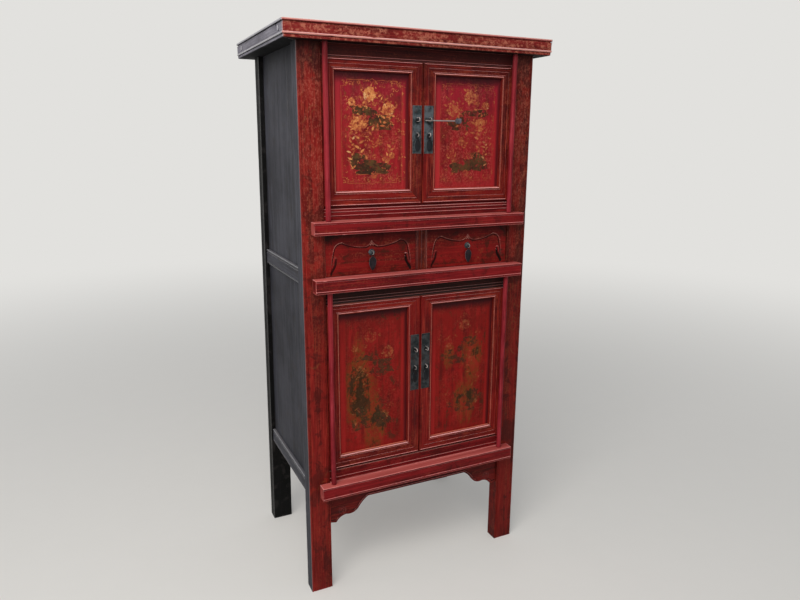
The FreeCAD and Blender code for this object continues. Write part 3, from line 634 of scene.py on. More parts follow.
class Net:
    """Node tree of one material, or of the world."""

    def __init__(self, name: str, world: bool = False) -> None:
        """Start an empty material or world.

        Args:
            name: Its name.
            world: Whether it is the world.
        """
        self.owner = (bpy.data.worlds if world else bpy.data.materials).new(name)
        self.owner.use_nodes = True
        self.tree = self.owner.node_tree
        self.tree.nodes.clear()

    @cached_property
    def spot(self) -> Sock:
        """The point on the object, in metres."""
        return self.node("ShaderNodeTexCoord", output="Object")

    @cached_property
    def seen(self) -> Sock:
        """1 for what the camera, gloss or glass sees, 0 for what only lights the object."""
        rays = [self.node("ShaderNodeLightPath", output=f"Is {kind} Ray")
                for kind in ("Camera", "Glossy", "Transmission")]
        return rays[0].most(rays[1]).most(rays[2])

    def node(self, kind: str, settings: dict | None = None, values: dict | None = None,
             output: int | str = 0) -> Sock:
        """Add a node.

        Args:
            kind: The node's type.
            settings: Its properties, set first.
            values: Values or links of its inputs, by name or index.
            output: Which output is wanted.

        Returns:
            That output.
        """
        made = self.tree.nodes.new(kind)
        for key, value in (settings or {}).items():
            setattr(made, key, value)
        for key, value in (values or {}).items():
            if isinstance(value, Sock):
                self.tree.links.new(value.link, made.inputs[key])
            else:
                made.inputs[key].default_value = value
        return Sock(self, made.outputs[output] if made.outputs else None)

    def place(self, stretch: tuple[float, float, float] = (1, 1, 1),
              shift: tuple[float, float, float] = (0, 0, 0)) -> Sock:
        """The point on the object, scaled and moved."""
        scaled = self.node("ShaderNodeVectorMath", {"operation": "MULTIPLY"},
                           {0: self.spot, 1: stretch})
        if shift == (0, 0, 0):
            return scaled
        return self.node("ShaderNodeVectorMath", {"operation": "ADD"}, {0: scaled, 1: shift})

    def noise(self, scale: float, detail: float = 3.0, rough: float = 0.55,
              stretch: tuple[float, float, float] = (1, 1, 1), shift: float = 0.0,
              bend: float = 0.0) -> Sock:
        """Fractal noise on the object.

        Args:
            scale: Cells per metre.
            detail: Octaves.
            rough: Weight of the finer octaves.
            stretch: Scale of each axis.
            shift: Where in the noise.
            bend: Distortion.

        Returns:
            Values around 0.5.
        """
        return self.node("ShaderNodeTexNoise", None,
                         {"Vector": self.place(stretch, (shift, shift * 1.7, -shift)),
                          "Scale": scale, "Detail": detail, "Roughness": rough,
                          "Distortion": bend})

    def cells(self, scale: float, stretch: tuple[float, float, float] = (1, 1, 1),
              shift: float = 0.0) -> Sock:
        """Distance to the nearest of scattered points."""
        return self.node("ShaderNodeTexVoronoi", None,
                         {"Vector": self.place(stretch, (shift, -shift, shift)),
                          "Scale": scale})

    def axis(self, name: str) -> Sock:
        """One coordinate of the point on the object, in metres."""
        return self.node("ShaderNodeSeparateXYZ", None, {0: self.spot}, name)

    def level(self, name: str) -> Sock:
        """A value that the mesh carries."""
        return self.node("ShaderNodeAttribute", {"attribute_name": name}, output="Fac")

    def upward(self) -> Sock:
        """How far the surface faces up."""
        normal = self.node("ShaderNodeNewGeometry", output="Normal")
        return self.node("ShaderNodeSeparateXYZ", None, {0: normal}, "Z")

    def mix(self, share: Sock | float, under: Sock | Colour, over: Sock | Colour) -> Sock:
        """Colour between two, by the share of the second."""
        return self.node("ShaderNodeMix", {"data_type": "RGBA"}, {0: share, 6: under, 7: over}, 2)

    def surface(self, colour: Sock, rough: Sock, height: Sock, depth: float,
                fixed: dict[str, float] | None = None, **varying: Sock) -> bpy.types.Material:
        """Close the tree with a shader.

        Args:
            colour: Base colour.
            rough: Roughness.
            height: Fine relief, 0 to 1.
            depth: Depth of that relief, in metres.
            fixed: Values that are the same all over, by socket name.
            **varying: Links of other sockets, by name with underscores.

        Returns:
            The finished material.
        """
        normal = self.node("ShaderNodeBump", None,
                           {"Height": height, "Distance": depth, "Strength": 1.0})
        values = {"Base Color": colour, "Roughness": rough, "Normal": normal}
        values.update(fixed or {})
        values.update({name.replace("_", " "): link for name, link in varying.items()})
        return self.close(self.node("ShaderNodeBsdfPrincipled", None, values))

    def close(self, shader: Sock) -> bpy.types.Material | bpy.types.World:
        """Link a shader to the output.

        Args:
            shader: The shader.

        Returns:
            The finished material or world.
        """
        kind = "World" if isinstance(self.owner, bpy.types.World) else "Material"
        self.node("ShaderNodeOutput" + kind, None, {"Surface": shader})
        return self.owner


# ------------------------------------------------------------------------------ finishes
class Grain(Enum):
    """Which way the wood of a piece runs, as a stretch of the noise along each axis."""

    LEVEL = (0.035, 1.0, 1.0)
    UPRIGHT = (1.0, 1.0, 0.035)
    DEEP = (1.0, 0.035, 1.0)


@dataclass(frozen=True)
class Lacquer:
    """Old coloured lacquer: streaked, stained, rubbed through on arrises, with painted shade in
    grooves and painted highlights on crests that face up.
    """

    name: str
    base: Colour
    deep: Colour
    bright: Colour
    worn: Colour = ink(198, 108, 100)
    painted_highlight: Colour = ink(228, 154, 154)
    grime_and_shade: Colour = ink(16, 5, 5)
    stain: Colour = ink(56, 16, 12)
    gilt: Colour = ink(174, 92, 80)
    amber: Colour = ink(122, 54, 34)
    flecks: float = 0.45
    fine: float = 170.0
    crumbs: float = 0.35
    filigree: float = 0.0
    grain: Grain = Grain.UPRIGHT
    stains: float = 0.5
    streaks: float = 0.6
    rub_and_highlight: float = 0.85
    facing: float = 0.5
    gilding: float = 0.0
    rings: float = 0.0
    joints: float = 0.0
    painted_shadow: float = 0.0
    gloss: float = 0.36
    seed: float = 0.0
    field: tuple[float, float, float, float] | None = None
    mottle: float = 0.0
    dusk: Colour = ink(112, 20, 46)
    painted_shadow_band: tuple[float, float] = (1.74, 1.89)
    patches: tuple[tuple[float, float, float], ...] = ()

    def coat(self, net: Net) -> tuple[Sock, Sock, Sock, Sock]:
        """Colour, roughness, relief and polish of the lacquer.

        Args:
            net: The tree to build in.

        Returns:
            The four results.
        """
        cloud = net.noise(5.5, 5, 0.6, shift=self.seed)
        streak = net.noise(44, 4, 0.6, self.grain.value, self.seed + 3, 0.1)
        thread = net.noise(260, 3, 0.6, self.grain.value, self.seed + 6)
        fleck = net.noise(170, 4, 0.66, shift=self.seed + 5)
        blot = net.noise(20, 6, 0.7, shift=self.seed + 9, bend=0.6)
        crest, up = net.level("crest"), net.upward()
        tone = net.mix((cloud * 0.5 + streak * 0.5).band(0.42, 0.6), self.base, self.deep)
        tone = net.mix(thread.band(0.5, 0.68) * self.streaks, tone, self.bright)
        tone = net.mix((1 - thread).band(0.5, 0.7) * self.streaks * 0.8, tone, self.deep)
        aged = (fleck * 0.6 + streak * 0.4).band(0.5, 0.6) * (1 - blot).band(0.4, 0.6)
        tone = net.mix(aged * self.flecks, tone, self.amber)
        patch = (blot * 0.7 + streak * 0.3 + self.near_rails(net) * 0.1).band(0.52, 0.6)
        tone = net.mix(patch * self.stains, tone, self.stain)
        if self.rings > 0:
            tone = self.drawn_rings(net, tone)
        if self.gilding > 0:
            tone = self.speckled(net, tone, crest)
        if self.field:
            tone = self.fielded(net, tone, streak)
        # Painted shadow: darker between the two heights given, below the cornice or a rail.
        if self.painted_shadow > 0:
            high = (net.axis("Z") + 0.05 * blot).band(*self.painted_shadow_band)
            tone = net.mix(high * self.painted_shadow, tone, self.grime_and_shade)
        # Painted shade: grooves and faces that look down are darkened; at mitres the same mask
        # gives dark joints.
        groove = (crest * -1.0).band(0.1, 0.8).most((up * -1.0).band(0.4, 0.9))
        tone = net.mix(groove * (0.88 + 0.2 * blot), tone, self.grime_and_shade)
        # Crests are rubbed through; those that face up also get a painted highlight, and upward
        # faces get a lighter film of dirt with painted top light.
        rubbed_and_lit = (crest.band(0.6, 1.05) * self.facing * 1.2).most(
            crest.band(0.15, 0.65) * up.band(0.05, 0.45) * 1.2)
        rubbed_and_lit = (rubbed_and_lit * (0.5 + 0.6 * fleck) * (0.5 + streak)).band(0.12, 0.66)
        dust_and_top_light = up.band(0.6, 0.95) * (0.5 + 0.5 * streak.band(0.38, 0.58))
        rub_and_highlight = rubbed_and_lit.most(dust_and_top_light) * self.rub_and_highlight
        over = net.mix(up.band(0.0, 0.6) * rubbed_and_lit, self.worn, self.painted_highlight)
        tone = net.mix(rub_and_highlight, tone, over)
        rough = self.gloss + 0.25 * cloud + 0.15 * fleck + 0.2 * groove
        relief = 0.4 * thread + 0.3 * fleck + 0.3 * streak - 0.3 * rub_and_highlight * fleck
        return tone, rough, relief, crest.band(0.2, 0.9) * 0.75

    def near_rails(self, net: Net) -> Sock | float:
        """More stain beside the ends of the front rails."""
        if self.joints == 0:
            return 0.0
        height = net.axis("Z")
        return reduce(Sock.most, (height.hump(*end) for end in RAIL_ENDS)) * self.joints

    def drawn_rings(self, net: Net, tone: Sock) -> Sock:
        """Remains of scrollwork drawn in dull gold and green."""
        ring = net.cells(15.0, (1, 1, 0.8), self.seed + 2)
        line = ring.hump(0.36, 0.06).most(ring.hump(0.2, 0.05))
        kept = net.noise(26, 4, 0.6, shift=self.seed + 1).band(0.5, 0.64)
        return net.mix(line * kept * self.rings, tone, ink(112, 70, 40))

    def speckled(self, net: Net, tone: Sock, crest: Sock) -> Sock:
        """Remains of a flowered ground in gold: broken tendrils and dabs, denser higher up."""
        shape = (1, 1, 0.55) if self.grain is Grain.UPRIGHT else (0.8, 1, 1)
        vine = net.noise(0.6 * self.fine, 2, 0.5, shape, self.seed + 7, 1.4)
        line = vine.hump(0.45, 0.05).most(vine.hump(0.58, 0.045))
        dab = 1 - net.cells(self.fine, shape, self.seed + 2).band(0.1, 0.48)
        kept = net.noise(26, 4, 0.65, (1, 1, 0.5), self.seed + 4)
        crumb = net.noise(0.8 * self.fine, 5, 0.7, shape, self.seed + 15)
        mark = (line * kept.band(0.4, 0.54)).most(dab * (1 - kept).band(0.4, 0.54) * 0.8)
        mark = mark.most(crumb.band(0.52, 0.62) * self.crumbs) * (
            0.2 + 0.8 * crumb.band(0.42, 0.56))
        reach = net.axis("Z").band(0.75, 1.75) * 0.85 + 0.08
        flat = 1 - crest.math("ABSOLUTE").band(0.05, 0.4)
        return net.mix(mark * reach * flat * self.gilding, tone, self.gilt)

    def fielded(self, net: Net, tone: Sock, streak: Sock) -> Sock:
        """Brighter margins beside a panel's field, a tint that deepens upwards, patches of old
        paint, and painted shadow along its top and right edges.
        """
        x, z, wide, tall = self.field
        across, height = net.axis("X") - x, net.axis("Z") - z
        side = (across.math("ABSOLUTE") - (wide - 0.03)).band(0.0, 0.012)
        foot = (-1.0 * height - (tall - 0.035)).band(0.0, 0.03) * 0.5
        tone = net.mix(side.most(foot) * (0.1 + 0.8 * streak.band(0.42, 0.6)), tone, self.bright)
        inner = (1 - side) * (1 - foot)
        tone = net.mix((height * (1 / tall)).band(-0.1, 1.1) * 0.45, tone, self.dusk)
        if self.filigree > 0:
            curl = net.noise(58, 1.5, 0.5, shift=self.seed + 21, bend=1.6)
            thin = curl.hump(0.44, 0.06).most(curl.hump(0.56, 0.06))
            faint = net.noise(140, 4, 0.7, shift=self.seed + 22).band(0.42, 0.6)
            patchy = net.noise(14, 3, 0.6, shift=self.seed + 23).band(0.4, 0.6)
            tone = net.mix(thin * faint * patchy * inner * self.filigree, tone,
                           ink(196, 104, 84))
            tone = net.mix((1 - faint) * (1 - thin) * patchy * inner * 0.25, tone, self.stain)
        blob = net.noise(12, 5, 0.68, (1, 1, 0.7), self.seed + 8, 0.5)
        crumb = net.noise(75, 5, 0.75, shift=self.seed + 11)
        grain = net.noise(60, 3, 0.6, (1, 1, 0.2), self.seed + 17)
        spread = 0.5 * blob + 0.2 * crumb + 0.3 * grain
        for px, pz, reach in self.patches:
            away = ((across - px * wide).math("ABSOLUTE") * (1.2 / wide)).math("POWER", 2.0)
            away = away + ((height - pz * tall).math("ABSOLUTE") * (1 / tall)).math("POWER", 2.0)
            near = (1 - away.band(0.0, reach * reach)) * 0.3
            tone = net.mix((near + spread).band(0.6, 0.8) * inner * 0.9, tone,
                           net.mix(crumb.band(0.45, 0.58), ink(124, 46, 22), ink(104, 58, 22)))
            tone = net.mix((near + 0.6 * blob + 0.25 * grain + 0.15 * crumb).band(0.77, 0.84)
                           * inner * self.mottle, tone, ink(34, 30, 12))
        fresh = (1 - blob).band(0.5, 0.62) * grain.band(0.4, 0.6) * inner * self.mottle
        tone = net.mix(fresh * 0.6, tone, self.bright)
        olive = (0.72 * blob + 0.28 * crumb).band(0.54, 0.6) * inner * self.mottle
        tone = net.mix(olive * 0.8, tone, ink(64, 38, 22))
        # Painted shadow along the top of the field and down its right edge.
        painted_shadow = (height - (tall - 0.034) + 0.012 * crumb).band(0.0, 0.032)
        edge = (across - (wide - 0.017)).band(0.0, 0.012)
        return net.mix(painted_shadow.most(edge * 0.9) * 0.85, tone, ink(36, 10, 14))

    def make(self) -> bpy.types.Material:
        """The finished material."""
        net = Net(self.name)
        tone, rough, relief, polish = self.coat(net)
        return net.surface(tone, rough, relief, 0.00045,
                           {"Specular IOR Level": 0.1, "Coat Roughness": 0.22},
                           Coat_Weight=polish)


@dataclass(frozen=True)
class Gilding:
    """Gold and olive painting over a lacquer, worn back to it."""

    name: str
    ground: Lacquer
    age: float

    def make(self) -> bpy.types.Material:
        """The finished material."""
        net = Net(self.name)
        ground, rough, relief, _ = self.ground.coat(net)
        tone = net.level("tone")
        grit = net.noise(190, 4, 0.7, shift=2.0)
        mottle = net.noise(48, 5, 0.66, shift=6.0)
        dark = 1 - tone.band(0.14, 0.28)
        moss = net.noise(30, 5, 0.7, shift=9.0)
        paint = net.mix(tone.band(0.1, 0.3), ink(36, 32, 20), ink(126, 60, 38))
        paint = net.mix((0.7 * moss + 0.3 * mottle).band(0.44, 0.6) * dark
                        * (0.8 - 0.7 * self.age), paint, ink(92, 72, 38))
        paint = net.mix(mottle.band(0.54, 0.66) * dark * 0.5, paint, ink(104, 34, 28))
        paint = net.mix((tone + 0.3 * grit - 0.15).band(0.3, 0.65), paint, ink(186, 98, 56))
        paint = net.mix((tone + 0.7 * mottle - 0.35).band(0.5, 0.9), paint, ink(224, 152, 88))
        paint = net.mix((tone + 0.9 * moss - 0.45).band(0.85, 1.05) * 0.7, paint,
                        ink(228, 190, 136))
        paint = net.mix(grit.band(0.48, 0.62) * (1 - dark) * 0.5, paint, ink(130, 42, 34))
        paint = net.mix(0.55 * self.age * (1 - dark), paint, ink(92, 40, 24))
        low = 0.4 + 0.14 * self.age - 0.07 * dark
        kept = (grit * (0.5 - 0.35 * dark) + mottle * (0.5 + 0.35 * dark) + 0.06 * tone
                - low).band(0.0, 0.13)
        kept = kept * (0.92 - 0.6 * self.age * (1 - dark))
        colour = net.mix(kept, ground, paint)
        gleam = kept * tone.band(0.4, 0.9) * 0.25
        return net.surface(colour, rough + 0.08 * kept, relief + 0.3 * kept, 0.0005,
                           {"Specular IOR Level": 0.1}, Metallic=gleam)


@dataclass(frozen=True)
class PlainWood:
    """Unfinished old softwood."""

    name: str
    base: Colour = ink(140, 102, 66)
    dark: Colour = ink(84, 56, 34)
    grain: Grain = Grain.LEVEL

    def make(self) -> bpy.types.Material:
        """The finished material."""
        net = Net(self.name)
        rings = net.noise(34, 4, 0.6, self.grain.value, 1.0, 0.9)
        fibre = net.noise(260, 4, 0.6, self.grain.value, 2.0)
        cloud = net.noise(6, 4, 0.6, shift=4.0)
        tone = net.mix(rings.band(0.4, 0.62), self.base, self.dark)
        tone = net.mix(fibre.band(0.5, 0.72) * 0.5, tone, self.dark)
        tone = net.mix(cloud.band(0.45, 0.7) * 0.45, tone, ink(70, 48, 34))
        crest = net.level("crest")
        tone = net.mix(net.level("plank") * 0.6, tone, ink(78, 50, 30))
        tone = net.mix(crest.band(0.3, 1.0) * 0.4, tone, ink(176, 138, 96))
        # Painted shade where the crest is negative, in the seams between boards.
        tone = net.mix((crest * -1).band(0.15, 0.8) * 0.85, tone, ink(24, 17, 12))
        return net.surface(tone, 0.72 + 0.2 * cloud, 0.5 * rings + 0.5 * fibre, 0.0006)


@dataclass(frozen=True)
class Iron:
    """Old sheet iron with a blue-green patina and patches of rust; painted shadow where its crest
    is negative, and rubbed metal with painted glints where it is positive.
    """

    name: str
    base: Colour = ink(82, 88, 93)
    dark: Colour = ink(34, 44, 46)
    bright: Colour = ink(158, 156, 152)
    rust: Colour = ink(52, 34, 32)
    rusty: float = 0.5
    metal: float = 0.35

    def make(self) -> bpy.types.Material:
        """The finished material."""
        net = Net(self.name)
        cloud = net.noise(38, 5, 0.6, shift=3.0)
        grit = net.noise(320, 4, 0.6, shift=8.0)
        dents = net.noise(90, 2, 0.5, shift=5.0)
        crest = net.level("crest")
        tone = net.mix(cloud.band(0.4, 0.62), self.base, self.dark)
        tone = net.mix(net.noise(55, 5, 0.65, shift=1.0).band(0.5, 0.64) * self.rusty,
                       tone, self.rust)
        # Painted shadow where the crest is negative; rubbed metal with painted glints where it is
        # positive.
        tone = net.mix((crest * -1.0).band(0.1, 0.8) * 0.92, tone, ink(12, 12, 14))
        bare_and_glint = crest.band(0.3, 0.95) * (0.35 + 0.65 * grit)
        tone = net.mix(bare_and_glint * 0.7, tone, self.bright)
        return net.surface(tone, 0.45 + 0.25 * cloud - 0.15 * bare_and_glint, 0.6 * dents + 0.3 * grit,
                           0.0006, {"Specular IOR Level": 0.2},
                           Metallic=self.metal + 0.4 * bare_and_glint)


def panel_field(low: Array, high: Array) -> tuple[float, float, float, float]:
    """Visible field of a panel.

    Args:
        low: Its lowest corner, mm.
        high: Its highest corner.

    Returns:
        Centre across and up, and half its width and height, in metres.
    """
    return (float(low[0] + high[0]) / 2 * MM, float(low[2] + high[2]) / 2 * MM,
            (float(high[0] - low[0]) / 2 - PANEL_TONGUE) * MM,
            (float(high[2] - low[2]) / 2 - PANEL_TONGUE) * MM)


class Palette:
    """All finishes of the cabinet, made once."""

    def __init__(self) -> None:
        """Make the materials."""
        # Several finishes darken towards the top as painted shadow below the cornice.
        red = Lacquer("red_rail", ink(116, 18, 22), ink(80, 10, 14), ink(146, 36, 36),
                      worn=ink(198, 98, 92), painted_highlight=ink(230, 150, 146), grain=Grain.LEVEL,
                      stains=0.5, streaks=0.65, rub_and_highlight=0.84, seed=1.0)
        post = replace(red, name="red_post", base=ink(120, 24, 20), deep=ink(82, 13, 12),
                       bright=ink(150, 44, 34), grain=Grain.UPRIGHT, stains=0.6, painted_shadow=0.85,
                       gilt=ink(186, 104, 84), gilding=0.55, rings=0.35, joints=1.0,
                       facing=0.5, flecks=0.5, seed=2.0)
        upper = replace(red, name="red_panel_upper", base=ink(146, 28, 34),
                        deep=ink(114, 18, 24), bright=ink(172, 44, 46), stains=0.3,
                        streaks=0.3, grain=Grain.UPRIGHT, mottle=0.4, filigree=0.5,
                        flecks=0.3, amber=ink(138, 64, 42), seed=5.0)
        lower = replace(upper, name="red_panel_lower", base=ink(128, 20, 16),
                        deep=ink(98, 14, 11), bright=ink(150, 30, 28), stains=0.4,
                        mottle=0.9, filigree=0.12, amber=ink(116, 46, 24),
                        dusk=ink(116, 26, 22), seed=6.0)
        dark = Lacquer("dark_board", ink(62, 62, 69), ink(47, 47, 52), ink(82, 83, 91),
                       worn=ink(126, 122, 124), painted_highlight=ink(156, 155, 160),
                       grime_and_shade=ink(10, 10, 12), stain=ink(50, 46, 46), stains=0.4,
                       streaks=0.5, rub_and_highlight=0.7, gloss=0.42, painted_shadow=0.55, flecks=0.0, seed=9.0)
        stile = replace(red, name="red_stile", grain=Grain.UPRIGHT, stains=0.45,
                        streaks=0.7, base=ink(116, 20, 18), deep=ink(78, 10, 11),
                        bright=ink(158, 56, 40), worn=ink(212, 120, 98),
                        painted_highlight=ink(252, 186, 188), facing=0.62, rub_and_highlight=0.92, flecks=0.6,
                        painted_shadow=0.6, seed=7.0)
        drawer_top = float(extent("drawer_left_front")[1][2]) * MM
        finishes: dict[str, Lacquer | Gilding | PlainWood | Iron] = {
            "rail": red,
            "ledge": replace(red, name="red_ledge", base=ink(104, 16, 20), facing=0.6,
                             worn=ink(186, 124, 114), seed=16.0),
            # The muntin is painted darker and less rubbed, as shade in its recess.
            "muntin": replace(red, name="red_muntin", base=ink(92, 24, 16), rub_and_highlight=0.35,
                              deep=ink(56, 12, 10), bright=ink(122, 44, 28),
                              grain=Grain.UPRIGHT, stains=0.7, flecks=0.8, seed=17.0),
            "member": replace(stile, name="red_member", grain=Grain.LEVEL, seed=14.0),
            # The two friezes are painted near black as shade under the cornice and under the rail.
            "frieze": replace(red, name="red_frieze", base=ink(56, 13, 13), stains=0.6,
                              deep=ink(38, 9, 9), bright=ink(78, 22, 18), rub_and_highlight=0.5,
                              flecks=0.2, seed=3.0),
            "frieze_low": replace(red, name="red_frieze_low", base=ink(34, 12, 9),
                                  stains=0.6, deep=ink(24, 9, 7), bright=ink(56, 20, 16),
                                  worn=ink(120, 60, 52), rub_and_highlight=0.5, flecks=0.15, seed=18.0),
            "post": post,
            # A darker copy of the post: painted shade on the right-hand post.
            "post_right": replace(post, name="red_post_right", base=ink(106, 19, 15),
                                  deep=ink(72, 11, 10), bright=ink(134, 36, 28), stains=0.7,
                                  painted_shadow=0.45, seed=22.0),
            "cornice": replace(red, name="red_cornice", gilding=0.9, stains=0.4, rub_and_highlight=0.9,
                               base=ink(110, 24, 24), deep=ink(80, 15, 15),
                               bright=ink(140, 46, 40), gilt=ink(178, 108, 86),
                               worn=ink(196, 128, 118), painted_highlight=ink(236, 186, 180),
                               facing=0.75, fine=88.0, crumbs=0.7, seed=4.0),
            "stile": stile,
            "pole": replace(red, name="red_pole", grain=Grain.UPRIGHT, stains=0.15,
                            rub_and_highlight=0.2, streaks=0.4, base=ink(140, 38, 46),
                            deep=ink(104, 20, 28), bright=ink(172, 68, 78), gloss=0.3,
                            painted_shadow=0.5, flecks=0.2, seed=8.0),
            # The drawers darken towards their top edge as painted shadow under the rail.
            "drawer": replace(red, name="red_drawer", base=ink(120, 20, 19),
                              deep=ink(82, 12, 11), bright=ink(148, 34, 28), stains=0.85,
                              stain=ink(64, 24, 14), streaks=0.35, facing=1.0,
                              worn=ink(176, 104, 88), flecks=0.6, amber=ink(128, 58, 40),
                              painted_shadow=0.8, painted_shadow_band=(drawer_top - 0.03, drawer_top + 0.03),
                              seed=10.0),
            "apron": replace(red, name="red_apron", base=ink(100, 21, 18), rub_and_highlight=0.5,
                             deep=ink(68, 13, 12), bright=ink(124, 34, 28), stains=0.6,
                             seed=15.0),
            "panel_back": replace(red, name="red_panel_back", base=ink(88, 26, 24),
                                  deep=ink(62, 17, 16), bright=ink(112, 42, 34),
                                  grain=Grain.UPRIGHT, stains=0.7, seed=21.0),
            "dark_upright": dark,
            # A darker copy for the lower side boards: painted shade lower down.
            "dark_low": replace(dark, name="dark_board_low_shaded", base=ink(54, 54, 61),
                                deep=ink(40, 40, 45), bright=ink(70, 71, 79), painted_shadow=0.0,
                                seed=19.0),
            "dark_level": replace(dark, name="dark_rail", grain=Grain.DEEP, painted_shadow=0.0,
                                  seed=11.0),
            # The back posts are painted near black as shade.
            "dark_post_shaded": replace(dark, name="dark_post_shaded", base=ink(12, 12, 12), painted_shadow=0.0,
                                 deep=ink(8, 8, 8), bright=ink(22, 22, 23), rub_and_highlight=0.3,
                                 worn=ink(48, 46, 48), painted_highlight=ink(70, 68, 72),
                                 seed=12.0),
            "dark_cornice": replace(dark, name="dark_cornice", base=ink(120, 117, 126),
                                    deep=ink(96, 94, 102), bright=ink(144, 142, 151),
                                    stain=ink(88, 84, 88), worn=ink(160, 158, 164),
                                    grain=Grain.DEEP, facing=0.8, painted_shadow=0.0, seed=13.0),
            "wood_level": PlainWood("wood_level"),
            "wood_upright": PlainWood("wood_upright", grain=Grain.UPRIGHT),
            "wood_deep": PlainWood("wood_deep", grain=Grain.DEEP),
            "iron": Iron("iron_plate"),
            # A darker copy for the lower plates: painted shade lower down.
            "iron_low": Iron("iron_plate_low_shaded", ink(58, 60, 62), ink(26, 32, 34)),
            "iron_dark": Iron("iron_pull", ink(28, 30, 34), ink(15, 16, 19),
                              ink(112, 114, 118), rusty=0.15),
            "iron_drop": Iron("iron_drop", ink(38, 32, 38), ink(22, 20, 24),
                              ink(150, 142, 148), rusty=0.3),
            "iron_bar": Iron("iron_bar", ink(104, 102, 108), ink(60, 62, 70),
                             ink(210, 196, 188), rusty=0.2, metal=0.3),
            # The staples are painted pale as glints.
            "iron_pale": Iron("iron_pin_glint", ink(168, 158, 154), ink(104, 98, 96),
                              ink(250, 244, 240), rusty=0.1, metal=0.3),
        }
        finishes["gilt_drawer"] = Gilding("gilt_drawer", finishes["drawer"], 0.9)
        ages = {"upper_left": (0.1, ()), "upper_right": (0.4, ()),
                "lower_left": (0.75, ((-0.4, -0.15, 0.85), (0.0, -0.7, 0.6),
                                      (-0.45, 0.5, 0.35))),
                "lower_right": (0.85, ((0.35, 0.1, 0.6), (0.15, -0.55, 0.62),
                                       (-0.4, 0.2, 0.3)))}
        for quarter, (age, patches) in ages.items():
            low, high = extent(quarter + "_panel")
            ground = replace(upper if quarter.startswith("upper") else lower,
                             name="red_" + quarter, field=panel_field(low, high),
                             patches=patches, seed=20.0 + 7 * len(finishes))
            finishes["panel_" + quarter] = ground
            finishes["gilt_" + quarter] = Gilding("gilt_" + quarter, ground, age)
        self.made = {key: finish.make() for key, finish in finishes.items()}

    def __getitem__(self, key: str) -> bpy.types.Material:
        """The material of that key."""
        return self.made[key]


@dataclass
class Bench:
    """What every sub-assembly needs: the finishes and the way to put a piece in place."""

    paint: Palette
    placed: int = 0

    def place(self, shell: Shell, name: str, body: str, slot: str, nodes: Sequence[str],
              finishes: Sequence[str], crease: float = CREASE) -> None:
        """Build a piece and put it on its body.

        Args:
            shell: Its mesh.
            name: Its name.
            body: CAD body that carries it.
            slot: The record's material slot; not used.
            nodes: CAD nodes that it stands for.
            finishes: Its finishes, in slot order.
            crease: Edges sharper than this many degrees stay sharp.
        """
        made = shell.build(name, [self.paint[key] for key in finishes], crease)
        tidy = made.modifiers.new("weigh", "WEIGHTED_NORMAL")
        tidy.keep_sharp = True
        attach(made, body)
        if nodes:
            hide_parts(*nodes)
        self.placed += 1
        LOG.info("%s on %s: %d faces", name, body, len(made.data.polygons))

    def dress(self, shell: Shell, node: str, body: str, slot: str, *finishes: str,
              crease: float = CREASE) -> None:
        """Place the piece that stands for one CAD node and is named after it."""
        self.place(shell, "dressed_" + node, body, slot, [node], finishes, crease)

    def carry(self, node: str, finish: str, edge: float = 1.0) -> None:
        """Dress a CAD node that stays: ease its edges and give it a finish.

        Args:
            node: The node.
            finish: Its finish.
            edge: Width of the eased edges, mm.
        """
        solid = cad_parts[node]
        join = solid.modifiers.new("join", "WELD")
        join.merge_threshold = WELD_REACH
        ease = solid.modifiers.new("ease", "BEVEL")
        ease.width = edge * MM
        ease.segments = 2
        ease.limit_method = "ANGLE"
        ease.angle_limit = math.radians(EASE_ANGLE)
        ease.harden_normals = True
        solid.data.materials.clear()
        solid.data.materials.append(self.paint[finish])
        LOG.info("%s kept from the solids", node)


# ------------------------------------------------------------------------------ carcass
@dataclass(frozen=True)
class Splay:
    """Inner face of the back posts: its place at the floor and its lean, mm per mm."""

    foot: float
    rate: float

    @classmethod
    def measure(cls) -> "Splay":
        """Read it off the posts.

        Returns:
            The splay.
        """
        front, back = extent("post_front_left"), extent("post_back_left")
        foot = back[1][1] - (front[1][1] - front[0][1])
        return cls(foot, (back[0][1] - foot) / extent("cornice_back")[0][2])

    def at(self, height: float) -> float:
        """Its place at a height."""
        return self.foot + self.rate * height


